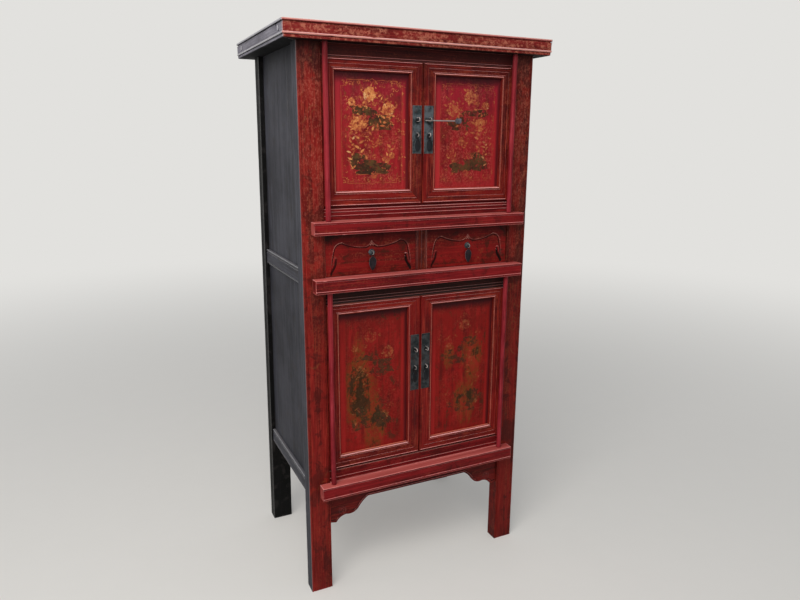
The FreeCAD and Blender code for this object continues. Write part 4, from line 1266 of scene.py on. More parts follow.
@dataclass
class Posts:
    """The four through-posts: straight in front, splayed behind."""

    bench: Bench
    groove_in: float = 7.5
    groove_wide: float = 2.6
    groove_deep: float = 1.5
    side_grooves: tuple[float, float] = (35.0, 17.0)
    ease: float = 1.8

    def front_section(self, width: float, depth: float) -> Section:
        """Front post: a groove near each front arris.

        Args:
            width: Width of the post, mm.
            depth: Its depth.

        Returns:
            The section, across from the outer side.
        """
        shape = Section().corner(0, 0, self.ease, 0.5, 1)
        for behind in self.side_grooves:
            start = depth - behind
            shape.corners((0, start, 0.3, 0.4, 1), (1.1, start + 0.6, 0.0, -1.0, 1),
                          (1.1, start + 2.2, 0.0, -1.0, 1), (0, start + 2.8, 0.3, 0.4, 1))
        shape.corner(0, depth, self.ease, 0.85)
        bottom = depth - self.groove_deep
        for start, wear_and_shade in ((self.groove_in, 0.4),
                            (width - 0.6 * self.groove_in - self.groove_wide, 0.1)):
            end = start + self.groove_wide
            shape.corners((start, depth, 0.4, wear_and_shade), (start + 0.5, bottom), (end - 0.5, bottom),
                          (end, depth, 0.4, wear_and_shade))
        # The inner side takes negative crests, painted as shade in the gap beside the pole.
        return shape.corners((width - 3.6, depth, 0.0, 0.0), (width, depth, self.ease, -0.7),
                             (width, depth - 4.0, 0, -0.9), (width, 0, self.ease, -1.0, 1))

    def build(self) -> None:
        """Build all four."""
        under = extent("cornice_front")[0][2]
        for number, (name, side) in enumerate(SIDES.items()):
            low, high = extent("post_front_" + name)
            outer = low[0] if side < 0 else high[0]
            width, depth = high[0] - low[0], high[1] - low[1]
            shell = Shell()
            Bar(self.front_section(width, depth), vec(outer, high[1], 0), -side * RIGHT, FRONT,
                UP, under, ends=(End.OPEN, End.BUTT), ease=2.0, sway=0.5, nicks=26,
                nick_depth=1.6, seed=11 + number).onto(shell)
            self.bench.dress(shell, "post_front_" + name, "carcass", "red_lacquer",
                             "post" if side < 0 else "post_right", "dark_upright")
            self.back(name, side, under, 21 + number)

    def back(self, name: str, side: int, under: float, seed: int) -> None:
        """Build one splayed post.

        Args:
            name: Left or right.
            side: -1 or 1.
            under: Height of the cornice's underside, mm.
            seed: Its faults.
        """
        low, high = extent("post_back_" + name)
        outer = low[0] if side < 0 else high[0]
        splay = Splay.measure()
        depth = high[1] - splay.foot
        width = high[0] - low[0]
        section = Section().corners(
            (0, 0, 1.5), (0, width, 1.8), (6.5, width, 0.4), (7.2, width - 1.2),
            (8.6, width - 1.2), (9.3, width, 0.4), (depth, width, 1.8), (depth, 0, 1.5))
        shell = Shell()
        Bar(section, vec(outer - side * width, splay.foot, 0), AWAY, side * RIGHT,
            UP + splay.rate * AWAY, under, ends=(End.OPEN, End.BUTT), ease=2.0, sway=0.5,
            nicks=18, nick_depth=1.4, seed=seed).onto(shell)
        self.bench.dress(shell, "post_back_" + name, "carcass", "black_lacquer", "dark_post_shaded")


@dataclass
class FrontRails:
    """Projecting rails, the fascias between the posts and the muntin between the drawers."""

    bench: Bench
    bead: float = 5.0
    rise: float = 1.6
    lip: float = 8.0
    lip_out: float = 11.5
    ledge: float = 6.5
    rebate: float = 9.0

    def rail_section(self, height: float, out: float) -> Section:
        """Moulded front of a projecting rail, up from its underside.

        Args:
            height: Height of the rail, mm.
            out: Depth of its front part, mm.

        Returns:
            The section.
        """
        b, q = self.bead, self.rise
        shape = Section().corners((0, 0), (0, out - q, 1.4))
        shape.bead((b, out - q), (2 * b, out - q), q)
        return shape.corners(
            (height - b - q, out - q, 0.4), (height - b - q + 0.3, out - 2 * q),
            (height - b - 0.3, out - 2 * q), (height - b, out, 0.5, 0.45),
            (height - b / 2, out, 0.0, 0.7), (height, out, 1.6, 1.0), (height, 0))

    def rails(self) -> None:
        """Build the three projecting rails."""
        post_face = extent("post_front_left")[0][1]
        opening = extent("post_front_right")[0][0]
        for number, name in enumerate(("rail_upper", "rail_middle", "rail_bottom")):
            low, high = extent(name)
            height = high[2] - low[2]
            shell = Shell()
            Bar(self.rail_section(height, post_face - low[1]), vec(low[0], post_face, low[2]),
                UP, FRONT, RIGHT, high[0] - low[0], ease=1.3, sway=0.45, nicks=30,
                nick_depth=1.5, step=7.0, seed=31 + number).onto(shell)
            Bar(block_section(height, high[1] - post_face + 0.4, 0.6),
                vec(-opening, high[1], low[2]), UP, FRONT, RIGHT, 2 * opening,
                ends=HIDDEN, nicks=0, sway=0.1, seed=35 + number).onto(shell)
            self.bench.dress(shell, name, "carcass", "red_lacquer", "rail")

    def fascia(self, name: str, beads: Sequence[float], lip_above: bool, finish: str,
               seed: int) -> None:
        """Build one board between the posts.

        Args:
            name: CAD node.
            beads: Heights of its run beads above its lower edge, mm.
            lip_above: Whether the stop lip of the doors stands above it.
            finish: Its finish.
            seed: Its faults.
        """
        low, high = extent(name)
        opening = extent("post_front_right")[0][0]
        lip, lip_out = self.lip, self.lip_out
        height, flat = high[2] - low[2] - lip, high[1] - low[1] - self.rise
        shape = Section()
        # Negative crests on the stop lip and the sunk rebate paint shade in the gaps round the
        # leaves.
        if not lip_above:
            shape.corners((-lip, 0), (-lip, lip_out, 0.8, -1.0), (0, lip_out, 0, -1.0))
        else:
            shape.corner(0, 0)
        shape.corner(0, flat, 1.0)
        for start in beads:
            shape.bead((start, flat), (start + self.bead, flat), self.rise, 0.85)
        if lip_above:
            step, sunk = height - self.ledge, flat - self.rebate
            shape.corners((step, flat, 1.2, 1.0 if name.startswith("ledge") else 0.15),
                          (step, sunk, 0.0, -1.0), (height, sunk, 0.0, -1.0),
                          (height, lip_out, 0.0, -1.0), (height + lip, lip_out, 0.8, -1.0),
                          (height + lip, 0))
        else:
            shape.corners((height, flat, 1.2), (height, 0))
        base = low[2] if lip_above else low[2] + lip
        shell = Shell()
        Bar(shape, vec(-opening, high[1], base), UP, FRONT, RIGHT, 2 * opening,
            ends=HIDDEN, sway=0.35, nicks=12, step=8.0, seed=seed).onto(shell)
        self.bench.dress(shell, name, "carcass", "red_lacquer", finish)

    def muntin(self) -> None:
        """Build the beaded upright between the drawers, and the guides behind it."""
        low, high = extent("drawer_divider")
        bed, above = extent("rail_middle")[1][2], extent("rail_upper")[0][2]
        left, right = extent("drawer_left_front"), extent("drawer_right_front")
        half = (right[0][0] - left[1][0]) / 2 - 1.5
        back = extent("rail_middle")[1][1]
        flat = back - low[1] - self.rise
        shape = Section().corners((-half, 0, 0.5), (-half, flat, 0.9))
        for centre in (-half + self.bead, 0.0, half - self.bead):
            shape.bead((centre - self.bead / 2, flat), (centre + self.bead / 2, flat),
                       self.rise, 0.9)
        shape.corners((half, flat, 0.9), (half, 0, 0.5))
        shell = Shell()
        Bar(shape, vec(0, back, bed), RIGHT, FRONT, UP, above - bed,
            ends=HIDDEN, sway=0.3, nicks=6, seed=51).onto(shell)
        self.bench.place(shell, "dressed_muntin", "carcass", "red_lacquer",
                         ["drawer_divider"], ["muntin"])
        guides = Shell()
        tray = extent("drawer_right_box")
        reach, edge, end = tray[0][0] - 1.0, tray[1][0] + 1.0, tray[1][1] + 0.5
        for x0, x1, y0, y1 in ((-reach, reach, back, end), (edge, high[0], back + 10, end),
                               (-high[0], -edge, back + 10, end),
                               (-high[0], high[0], end, high[1])):
            Bar(block_section(x1 - x0, 16.0, 1.0), vec(x0, y0, bed), RIGHT, UP, AWAY, y1 - y0,
                ends=HIDDEN, step=30, sway=0.2, nicks=0, seed=52).onto(guides)
        self.bench.place(guides, "dressed_drawer_guides", "carcass", "red_lacquer",
                         ["drawer_divider"], ["wood_deep"])

    def build(self) -> None:
        """Build the rails, fascias and muntin."""
        self.rails()
        b = self.bead
        self.fascia("frieze_upper", [b / 2], False, "frieze", 41)
        self.fascia("ledge_upper", [12.0, 24.0], True, "ledge", 42)
        self.fascia("frieze_lower", [b, 3 * b], False, "frieze_low", 43)
        self.fascia("sill_lower", [10.0], True, "ledge", 44)
        self.muntin()


@dataclass
class Cornice:
    """The moulded top: a red front that returns round its ends, and dark sides and back."""

    bench: Bench
    quirk: float = 1.6
    bead: float = 5.0
    plug_up: float = 29.0

    def section(self, depth: float, height: float) -> Section:
        """Cornice moulding, inwards from its face.

        Args:
            depth: Depth of the member, mm.
            height: Its height.

        Returns:
            The section.
        """
        q, b = self.quirk, self.bead
        fillet = height - 1.4 * b
        return Section().corners(
            (depth, 0), (3 * q, 0, 0.4, -0.5), (2 * q, q, 0.5, -0.25), (2 * q, 1.6 * b, 0.5, -0.2),
            (3 * q, 1.6 * b), (3 * q, 2 * b), (1.6, 2 * b + 0.1, 0.6), (0.1, 2.35 * b, 1.2),
            (0.2, 2.95 * b, 1.2), (q, 3.3 * b), (q, fillet - 2.4 * q, 0.4, 0.2),
            (2.6 * q, fillet - 2.2 * q), (2.6 * q, fillet - 0.3), (0, fillet, 0.6, 0.35),
            (0, (fillet + height) / 2, 0.0, 1.0), (0, height, 1.6, 1.0), (depth, height, 0.4))

    def plug(self, shell: Shell, side: int, y: float, outer: float, base: float) -> None:
        """Round end of a dowel in the side of the moulding.

        Args:
            shell: The mesh.
            side: -1 or 1.
            y: Its place along the side, mm.
            outer: The side's outer face.
            base: The moulding's underside.
        """
        turn = turns(20)
        ring = spots(0.0, np.cos(turn), np.sin(turn))
        centre = vec(outer - side * self.quirk, y, base + self.plug_up)
        rings = np.array([centre + ring * r + side * RIGHT * o for r, o in
                          ((8.6, -1.5), (8.6, 0.0), (8.1, 0.35), (7.6, -0.2), (7.2, 0.9),
                           (6.0, 1.4), (0.4, 1.5))])
        # The rim is painted dark as shade and the dome light as a highlight.
        shell.loft(rings, np.array([[-1.0] * 4 + [0.6, 1.0, 0.8]]).T, 1)

    def member(self, name: str, finish: str, slot: str, seed: int) -> None:
        """Front or back member with its returns.

        Args:
            name: CAD node.
            finish: Finish of its face.
            slot: The record's material slot.
            seed: Its faults.
        """
        low, high = extent(name)
        front = name.endswith("front")
        depth, wide, height = high[1] - low[1], high[0] - low[0], high[2] - low[2]
        inward = AWAY if front else FRONT
        face = low[1] if front else high[1]
        section = self.section(depth, height)
        shell = Shell()
        common = {"ease": 0.9, "sway": 0.45, "nick_depth": 1.4, "step": 7.0}
        Bar(section, vec(low[0], face, low[2]), inward, UP, RIGHT, wide, 1.0, 1.0,
            nicks=34, seed=seed, **common).onto(shell)
        for side in (-1, 1):
            Bar(section, vec(side * high[0], face, low[2]), -side * RIGHT, UP, inward, depth,
                1.0, 0.0, (End.OPEN, End.MITRE), nicks=2, seed=seed + 1 + side,
                **common).onto(shell, 1)
            self.plug(shell, side, face + 0.66 * depth * inward[1], side * high[0], low[2])
        self.bench.dress(shell, name, "carcass", slot, finish, "dark_cornice")

    def side(self, name: str, side: int, seed: int) -> None:
        """One side member.

        Args:
            name: CAD node.
            side: -1 or 1.
            seed: Its faults.
        """
        low, high = extent(name)
        y0, y1 = extent("cornice_front")[1][1], extent("cornice_back")[0][1]
        section = self.section(high[0] - low[0], high[2] - low[2])
        outer = low[0] if side < 0 else high[0]
        shell = Shell()
        Bar(section, vec(outer, y0, low[2]), -side * RIGHT, UP, AWAY, y1 - y0,
            ends=MITRED, sway=0.4, nicks=14, nick_depth=1.2,
            seed=seed).onto(shell)
        self.bench.dress(shell, name, "carcass", "black_lacquer", "dark_cornice")

    def build(self) -> None:
        """Build the four members and dress the board."""
        self.member("cornice_front", "cornice", "red_lacquer", 61)
        self.member("cornice_back", "dark_cornice", "black_lacquer", 65)
        for name, side in SIDES.items():
            self.side("cornice_" + name, side, 71 if side < 0 else 74)
        self.bench.carry("cornice_board", "wood_level", 0.8)


@dataclass
class Sides:
    """Side boards and rails, and the plain wood behind and inside."""

    bench: Bench
    step: float = 16.0
    thick: float = 10.0
    joint: float = 165.0
    groove: float = 8.0
    back_count: int = 3
    back_gap: float = 1.8

    def board(self, shell: Shell, side: int, face: float, y0: float, y1: tuple[float, float],
              z0: float, z1: float, seed: int) -> None:
        """One upright board of a side.

        Args:
            shell: The mesh.
            side: -1 or 1.
            face: Its outer face, mm.
            y0: Its front edge.
            y1: Its back edge at the foot and at the top.
            z0: Its foot.
            z1: Its top.
            seed: Its waviness.
        """
        rise = ticks(z1 - z0, self.step)[:, None]
        wide = y1[0] + (y1[1] - y1[0]) * rise / (z1 - z0) - y0
        steps = ticks(1.0, 0.055, 0.006)[None]
        u, v = wide * steps, rise + 0 * steps
        sag = 1.1 * waves(v, u * 4, seed, 420.0) + 0.5 * waves(u * 6, v * 0.4, seed + 1, 160.0)
        cup = 0.9 * (2 * steps - 1) ** 2
        Relief(vec(face, y0, z0), AWAY, UP, side * RIGHT, u, v, self.thick,
               -(sag + cup), ease=1.4).onto(shell, 0, 1)

    def panel(self, level: str, name: str, side: int, seed: int) -> None:
        """Two boards edge to edge.

        Args:
            level: Upper or lower.
            name: Left or right.
            side: -1 or 1.
            seed: Their waviness.
        """
        node = f"side_panel_{level}_{name}"
        low, high = extent(node)
        joint = extent("post_front_left")[0][1] + self.joint
        face = low[0] if side < 0 else high[0]
        back = tuple(Splay.measure().at(height) + self.groove for height in (low[2], high[2]))
        shell = Shell()
        self.board(shell, side, face, low[1], (joint, joint), low[2], high[2], seed)
        self.board(shell, side, face, joint, back, low[2], high[2], seed + 3)
        self.bench.dress(shell, node, "carcass", "black_lacquer",
                         "dark_upright" if level == "upper" else "dark_low", "wood_upright")

    def rail(self, level: str, name: str, side: int, seed: int) -> None:
        """A beaded rail between two posts.

        Args:
            level: Mid or low.
            name: Left or right.
            side: -1 or 1.
            seed: Its faults.
        """
        node = f"side_rail_{level}_{name}"
        low, high = extent(node)
        y0 = extent("post_front_left")[1][1]
        splay = Splay.measure()
        y1 = splay.at(low[2])
        height, out = high[2] - low[2], high[0] - low[0]
        shape = Section().corners(
            (0, 0), (0, out, 1.3), (6.0, out, 0.3, 0.3), (6.4, out - 1.2), (8.2, out - 1.2),
            (8.6, out, 0.3, 0.3), (height - 10, out, 0.4, 0.4), (height - 9.6, out - 1.6),
            (height - 5.4, out - 1.6), (height - 5, out, 0.5), (height, out, 1.5), (height, 0))
        inner = high[0] if side < 0 else low[0]
        shell = Shell()
        Bar(shape, vec(inner, y0, low[2]), UP, side * RIGHT, AWAY, y1 - y0, 0.0, -splay.rate,
            HIDDEN, sway=0.4, nicks=10, seed=seed).onto(shell)
        self.bench.dress(shell, node, "carcass", "black_lacquer", "dark_level")

    def back_boards(self) -> None:
        """Upright boards edge to edge in each opening of the splayed back."""
        low, high = extent("back_boards")
        middle = extent("side_rail_mid_left")
        tongue = extent("side_rail_low_left")[1][2] - low[2]
        lean = UP + Splay.measure().rate * AWAY
        stretch = float(np.linalg.norm(lean))
        out = np.cross(RIGHT, lean / stretch) * -1.0
        wide = (high[0] - low[0]) / self.back_count
        draw = np.random.default_rng(401)
        shell = Shell()
        for z0, z1 in ((low[2], middle[0][2] + tongue), (middle[1][2] - tongue, high[2])):
            for i in range(self.back_count):
                up = ticks((z1 - z0) * stretch, 40.0)
                u, v = np.meshgrid(ticks(wide - self.back_gap, 24.0), up)
                edge = np.minimum(u, wide - self.back_gap - u)
                cup = (0.9 * (2 * u / wide - 1) ** 2 + 0.6 * waves(v, u, 7 * i, 300.0)
                       + 1.6 * bell(edge, 1.6))
                start = vec(low[0] + i * wide, high[1], low[2]) + lean * (z0 - low[2])
                shade = draw.uniform(0.0, 1.0)
                # Board edges take negative crest, painted as shade in the seams.
                Relief(start, RIGHT, lean / stretch, out, u, v, self.thick, -cup,
                       -bell(edge, 2.6), 0.3,
                       fields={"plank": np.full_like(u, shade)}).onto(shell)
                if i + 1 < self.back_count:
                    # A strip behind each seam, painted dark as shade.
                    side = start + (wide - 6.0) * RIGHT - 3.5 * out
                    u, v = np.meshgrid(ticks(12.0, 6.0, 0.2), up)
                    Relief(side, RIGHT, lean / stretch, out, u, v, 3.0, None,
                           np.full_like(u, -1.0), 0.2).onto(shell)
        self.bench.dress(shell, "back_boards", "carcass", "plain_wood", "wood_upright")

    def build(self) -> None:
        """Build both sides and dress what is behind and inside."""
        for number, (name, side) in enumerate(SIDES.items()):
            for level in ("upper", "lower"):
                self.panel(level, name, side, 81 + 10 * number + len(level))
            for level in ("mid", "low"):
                self.rail(level, name, side, 101 + 5 * number + (level == "mid"))
        self.back_boards()
        self.bench.carry("back_rails", "wood_level", 1.2)
        for node in ("floor_upper", "floor_lower", "drawer_bed"):
            self.bench.carry(node, "wood_level", 0.8)


@dataclass
class Apron:
    """Shaped apron of the stand: a carved thread follows its lower edge."""

    bench: Bench
    strip: float = 42.0
    points: tuple[tuple[float, float, float], ...] = (
        (145.0, 0.0, 0.0), (106.0, 40.0, 0.06), (61.0, 52.0, -0.15), (23.0, 76.0, 0.13),
        (0.0, 71.0, 0.0))

    def build(self) -> None:
        """Build the apron."""
        low, high = extent("stand_apron")
        half = extent("post_front_right")[0][0]
        line = bowed_line([(0.0, 0.0, 0.0)] + [(half - inward, -drop, bow)
                                               for inward, drop, bow in self.points], 0.04, 25)
        u = np.concatenate([-np.linspace(half, 0, 231)[:-1], np.linspace(0, half, 231)])
        drop = np.interp(np.abs(u), line[:, 0], line[:, 1])
        rows = np.concatenate([[0.0, 0.008, 0.02, 0.045], np.linspace(0.08, 0.98, 34), [1.0]])
        u2 = u[None] + 0 * rows[:, None]
        v2 = drop[None] + (self.strip - drop[None]) * rows[:, None]
        place = np.stack([np.abs(u2), v2], -1)[:, :, None]
        reach = np.concatenate([[0.0], np.cumsum(np.hypot(*np.diff(line, axis=0).T))])
        fine = np.arange(0.0, reach[-1], 3.0)
        line = np.stack([np.interp(fine, reach, line[:, k]) for k in (0, 1)], -1)
        gap = np.min(np.linalg.norm(place - line[None, None], axis=-1), axis=-1)
        thread, quirk = bell(gap - 6.0, 1.3), bell(gap - 9.2, 0.9)
        curl = np.hypot(np.abs(u2) - (half - 46), v2 + 33)
        scroll = (bell(curl - 13, 1.5) + bell(curl - 6, 1.3)) * (v2 < -6)
        height = -1.6 + 1.5 * thread + 1.2 * np.clip(scroll, 0, 1) - 0.7 * quirk
        height = np.where(gap < 4, -0.5 - 0.4 * (gap < 2), height)
        shell = Shell()
        # The quirk takes negative crest, painted as shade; the thread and scrolls are rubbed.
        Relief(vec(0, low[1], high[2] - self.strip), RIGHT, UP, FRONT, u2, v2,
               high[1] - low[1], height, 0.7 * thread + 0.9 * scroll - quirk,
               ease=1.0).onto(shell)
        self.bench.dress(shell, "stand_apron", "carcass", "red_lacquer", "apron")


# ------------------------------------------------------------------------------ ornament
class Sketch:
    """Painted ornament: flat shapes in panel millimetres, each with a tone and a lift."""

    def __init__(self, wide: float, high: float, seed: int) -> None:
        """Start an empty drawing.

        Args:
            wide: Width of the panel, mm.
            high: Its height.
            seed: Which hand drew it.
        """
        self.wide = wide
        self.high = high
        self.draw = np.random.default_rng(seed)
        self.shapes: list[tuple[Array, list[tuple[int, ...]], float, float]] = []

    def put(self, points: Array, faces: list[tuple[int, ...]], tone: float) -> None:
        """Keep a shape, a hair above the last one."""
        lift = 0.08 + 0.32 * (len(self.shapes) % 97) / 97
        self.shapes.append((points, faces, tone, lift))

    def fan(self, centre: Array, rim: Array, tone: float) -> None:
        """Filled shape round a centre.

        Args:
            centre: The point that its triangles meet in.
            rim: Its outline.
            tone: 0 olive, 0.5 dull gold, 1 bright gold.
        """
        number = len(rim)
        faces = [(0, i + 1, (i + 1) % number + 1) for i in range(number)]
        self.put(np.concatenate([centre[None], rim]), faces, tone)

    def stroke(self, points: Sequence[Sequence[float]], width: float, tone: float,
               tip: float = 0.35) -> None:
        """Brush stroke along a smooth line.

        Args:
            points: Points that the line passes near.
            width: Its width at the start, mm.
            tone: Its tone.
            tip: Share of the width left at its end.
        """
        line = smooth_line(np.array(points, float), 3)
        way = np.gradient(line, axis=0)
        way /= np.maximum(np.linalg.norm(way, axis=1, keepdims=True), 1e-6)
        side = left_of(way)
        half = np.linspace(1, tip, len(line))[:, None] * width / 2
        half = half * self.draw.uniform(0.75, 1.15, (len(line), 1))
        number = len(line)
        faces = [(i, i + 1, number + i + 1, number + i) for i in range(number - 1)]
        self.put(np.concatenate([line + side * half, line - side * half]), faces, tone)

    def leaf(self, base: Array, angle: float, length: float, width: float,
             tone: float) -> None:
        """Pointed leaf.

        Args:
            base: Where it springs.
            angle: Its direction, degrees from the right.
            length: Its length, mm.
            width: Its width.
            tone: Its tone.
        """
        turn = math.radians(angle)
        ahead = np.array([math.cos(turn), math.sin(turn)])
        side = left_of(ahead)
        t = np.linspace(0, 1, 7)
        half = np.sin(np.pi * t ** 0.8)[:, None] * width / 2
        spine = base + ahead * length * t[:, None] + side * 0.12 * length * (t * t)[:, None]
        rim = np.concatenate([spine + side * half, (spine - side * half)[-2:0:-1]])
        self.fan(spine[3], rim, tone)

    def blossom(self, x: float, y: float, radius: float, petals: int, tone: float) -> None:
        """Many-petalled flower.

        Args:
            x: Its centre.
            y: Its centre.
            radius: Its radius, mm.
            petals: Petals in the outer ring.
            tone: Its tone.
        """
        centre = np.array([x, y])
        turn = turns(9)
        for ring, share in enumerate((1.0, 0.7, 0.42)):
            first = self.draw.uniform(0, 360)
            number = petals - 2 * ring
            for i in range(number):
                angle = math.radians(first + 360 * i / number + self.draw.uniform(-9, 9))
                way = np.array([math.cos(angle), math.sin(angle)])
                side = left_of(way)
                long = radius * share * self.draw.uniform(0.24, 0.34)
                wide = radius * share * self.draw.uniform(0.24, 0.34)
                reach = radius * share * self.draw.uniform(0.6, 0.78)
                rim = (centre + way * reach + np.cos(turn)[:, None] * way * long
                       + np.sin(turn)[:, None] * side * wide)
                self.fan(rim.mean(0), rim, tone * self.draw.uniform(0.6, 1.05))
        self.fan(centre, centre + np.stack([np.cos(turn), np.sin(turn)], -1) * radius * 0.16,
                 0.3)
        self.dabs(x, y, 0.95 * radius, petals, 0.32 * radius, 0.62 * tone)

    def dabs(self, x: float, y: float, spread: float, count: int, size: float,
             tone: float) -> None:
        """Loose cluster of leaves.

        Args:
            x: Its centre.
            y: Its centre.
            spread: How far they scatter, mm.
            count: How many.
            size: Their length, mm.
            tone: Their tone.
        """
        for _ in range(count):
            way = np.clip(self.draw.normal(0, 1, 2), -1.5, 1.5) * spread * 0.7
            self.leaf(np.array([x, y]) + way, self.draw.uniform(0, 360),
                      size * self.draw.uniform(0.6, 1.5), size * self.draw.uniform(0.35, 0.6),
                      tone * self.draw.uniform(0.55, 1.15))

    def scroll(self, x: float, y: float, size: float, turn: float, tone: float) -> None:
        """Curled tendril with a leaf at its root.

        Args:
            x: Centre of the curl.
            y: Centre of the curl.
            size: Its radius, mm.
            turn: Where it starts, degrees.
            tone: Its tone.
        """
        t = np.linspace(0, 1, 9)
        angle = math.radians(turn) + t * self.draw.choice([-1, 1]) * 4.6
        radius = size * (1 - 0.82 * t)
        self.stroke(np.stack([x + radius * np.cos(angle), y + radius * np.sin(angle)], -1),
                    1.7, tone, 0.6)
        root = np.array([x + size * math.cos(angle[0]), y + size * math.sin(angle[0])])
        self.leaf(root, turn + 80, 0.8 * size, 0.35 * size, tone)

    def ground(self, inset: float, density: float, tone: float) -> None:
        """Fill the field with small scrolls, leaves and florets.

        Args:
            inset: Distance from the edge, mm.
            density: Share of the places that are filled.
            tone: Their tone.
        """
        pace = 19.0
        for x in np.arange(inset, self.wide - inset, pace):
            for y in np.arange(inset, self.high - inset, pace):
                if self.draw.uniform() > density:
                    continue
                px, py = (x, y) + self.draw.uniform(0, pace, 2)
                kind = self.draw.uniform()
                value = tone * self.draw.uniform(0.5, 1.1)
                if kind < 0.45:
                    self.dabs(px, py, 5.0, 5, 6.0, value)
                elif kind < 0.8:
                    self.scroll(px, py, self.draw.uniform(3.5, 7.0),
                                self.draw.uniform(0, 360), value)
                else:
                    self.blossom(px, py, self.draw.uniform(4.0, 6.5), 6, value)

    def spray(self, points: Sequence[Sequence[float]], leaves: int, size: float,
              tone: float) -> None:
        """Twig with leaves on both sides.

        Args:
            points: Points along the twig.
            leaves: How many leaves.
            size: Their length, mm.
            tone: Their tone.
        """
        self.stroke(points, 2.6, 0.3)
        line = smooth_line(np.array(points, float), 3)
        for i in range(leaves):
            at = int((i + 0.7) / (leaves + 0.4) * (len(line) - 1))
            way = line[min(at + 1, len(line) - 1)] - line[max(at - 1, 0)]
            angle = math.degrees(math.atan2(way[1], way[0]))
            angle += (55 if i % 2 else -55) + self.draw.uniform(-18, 18)
            self.leaf(line[at], angle, size * self.draw.uniform(0.7, 1.2), size * 0.42,
                      tone * self.draw.uniform(0.6, 1.1))

    def rock(self, x: float, y: float, wide: float, high: float, tone: float) -> None:
        """Garden rock: a ragged dark mass with a few bright edges.

        Args:
            x: Its centre.
            y: Its centre.
            wide: Its width, mm.
            high: Its height.
            tone: Its tone.
        """
        turn = turns(72)
        lobes = 1 + sum(0.28 / k ** 0.75 * np.sin(k * turn + self.draw.uniform(0, 6))
                        for k in (2, 3, 5, 8, 13, 19))
        centre = np.array([x, y])
        c, s = signed_power(np.cos(turn), 0.6), signed_power(np.sin(turn), 0.6)
        rim = np.stack([x + c * wide / 2 * lobes, y + s * high / 2 * lobes], -1)
        self.fan(centre, rim, tone)
        for _ in range(5):
            first = int(self.draw.integers(0, 71))
            arc = rim[[(first + k) % 72 for k in range(0, 15, 3)]]
            self.stroke(centre + (arc - centre) * self.draw.uniform(0.6, 1.04), 2.0,
                        self.draw.uniform(0.45, 0.85))
        self.dabs(x, y + 0.4 * high, 0.4 * wide, 9, 6.0, 0.75)

    def grass(self, x: float, y: float, blades: int, size: float, tone: float) -> None:
        """Tuft of grass.

        Args:
            x: Its foot.
            y: Its foot.
            blades: How many blades.
            size: Their length, mm.
            tone: Their tone.
        """
        for i in range(blades):
            lean = (i / max(1, blades - 1) - 0.5) * 1.5
            self.stroke([(x + 2 * lean, y), (x + size * 0.3 * lean, y + size * 0.6),
                         (x + size * 0.75 * lean, y + size * (1 - 0.3 * abs(lean)))],
                        1.7, tone, 0.2)

    def border(self, inset: float, tone: float) -> None:
        """Cusped line round the field, with scrolls in its corners and worn dots along it.

        Args:
            inset: Distance from the panel's edge, mm.
            tone: Its tone.
        """
        w, h, c = self.wide - 2 * inset, self.high - 2 * inset, 19.0

        def run(points: Sequence[tuple[float, float]], width: float = 1.6) -> None:
            """Draw the run and its mirror images."""
            for fx in (False, True):
                for fy in (False, True):
                    self.stroke([(inset + (w - x if fx else x), inset + (h - y if fy else y))
                                 for x, y in points], width, tone, 0.9)

        run([(c, 0), (w * 0.28, 0), (w * 0.36, -1.5), (w * 0.44, 3), (w * 0.5, -5)])
        run([(0, c), (0, h * 0.3), (0, h * 0.5)])
        run([(c, 0), (c + 1, c * 0.5), (c * 0.8, c * 0.8), (c * 0.5, c + 1), (0, c)])
        run([(c * 0.15, c * 0.2), (c * 0.5, c * 0.1), (c * 0.62, c * 0.45), (c * 0.3, c * 0.6)],
            2.2)
        run([(c * 1.3, c * 0.4), (c * 1.9, c * 0.3), (c * 2.1, c * 0.7), (c * 1.7, c * 0.8)],
            1.8)
        for x in (inset + 0.6 * c, self.wide - inset - 0.6 * c):
            for y in (inset + 0.6 * c, self.high - inset - 0.6 * c):
                self.dabs(x, y, 7.0, 9, 4.5, tone * 1.15)
        for s in np.arange(inset + c, self.wide - inset - c, 6.5):
            for y in (inset + 5.0, self.high - inset - 5.0):
                self.dabs(s, y, 2.2, 1, 4.0, tone)
        for s in np.arange(inset + c, self.high - inset - c, 8.5):
            for x in (inset + 4.0, self.wide - inset - 4.0):
                self.dabs(x, s, 1.8, 1, 4.0, tone * 0.8)

    def onto(self, shell: Shell, origin: Array, out: Array) -> None:
        """Add the drawing to a mesh.

        Args:
            shell: The mesh.
            origin: Lower left corner of the panel's face, mm.
            out: Direction out of the face.
        """
        for points, faces, tone, lift in self.shapes:
            inside = np.clip(points, 3.0, [self.wide - 3.0, self.high - 3.0])
            place = origin + inside[:, :1] * RIGHT + inside[:, 1:] * UP + lift * out
            if len(faces[0]) == 3:
                place[0] += 0.25 * out
            shell.add(place, faces, 0.0, 0, tone=tone)


def bowed_line(stops: Sequence[tuple[float, float, float]], first: float,
               count: int) -> Array:
    """Line through stops, each stretch bowed to one side.

    Args:
        stops: Across, up and bow of each stop; the bow is a share of the stretch before it.
        first: Share of a stretch at which its points begin.
        count: Points in each stretch.

    Returns:
        The points.
    """
    line = [np.array(stops[0][:2])]
    for x, z, bow in stops[1:]:
        start, way = line[-1], np.array([x, z]) - line[-1]
        normal = left_of(way)
        for t in np.linspace(first, 1, count):
            line.append(start + way * t + normal * 4 * bow * t * (1 - t))
    return np.array(line)


def smooth_line(points: Array, passes: int) -> Array:
    """Round a line by cutting its corners.

    Args:
        points: Its points.
        passes: How often.

    Returns:
        More points on a smoother line with the same ends.
    """
    for _ in range(passes):
        near = 0.75 * points[:-1] + 0.25 * points[1:]
        far = 0.25 * points[:-1] + 0.75 * points[1:]
        inner = np.stack([near, far], 1).reshape(-1, 2)
        points = np.concatenate([points[:1], inner[1:-1], points[-1:]])
    return points


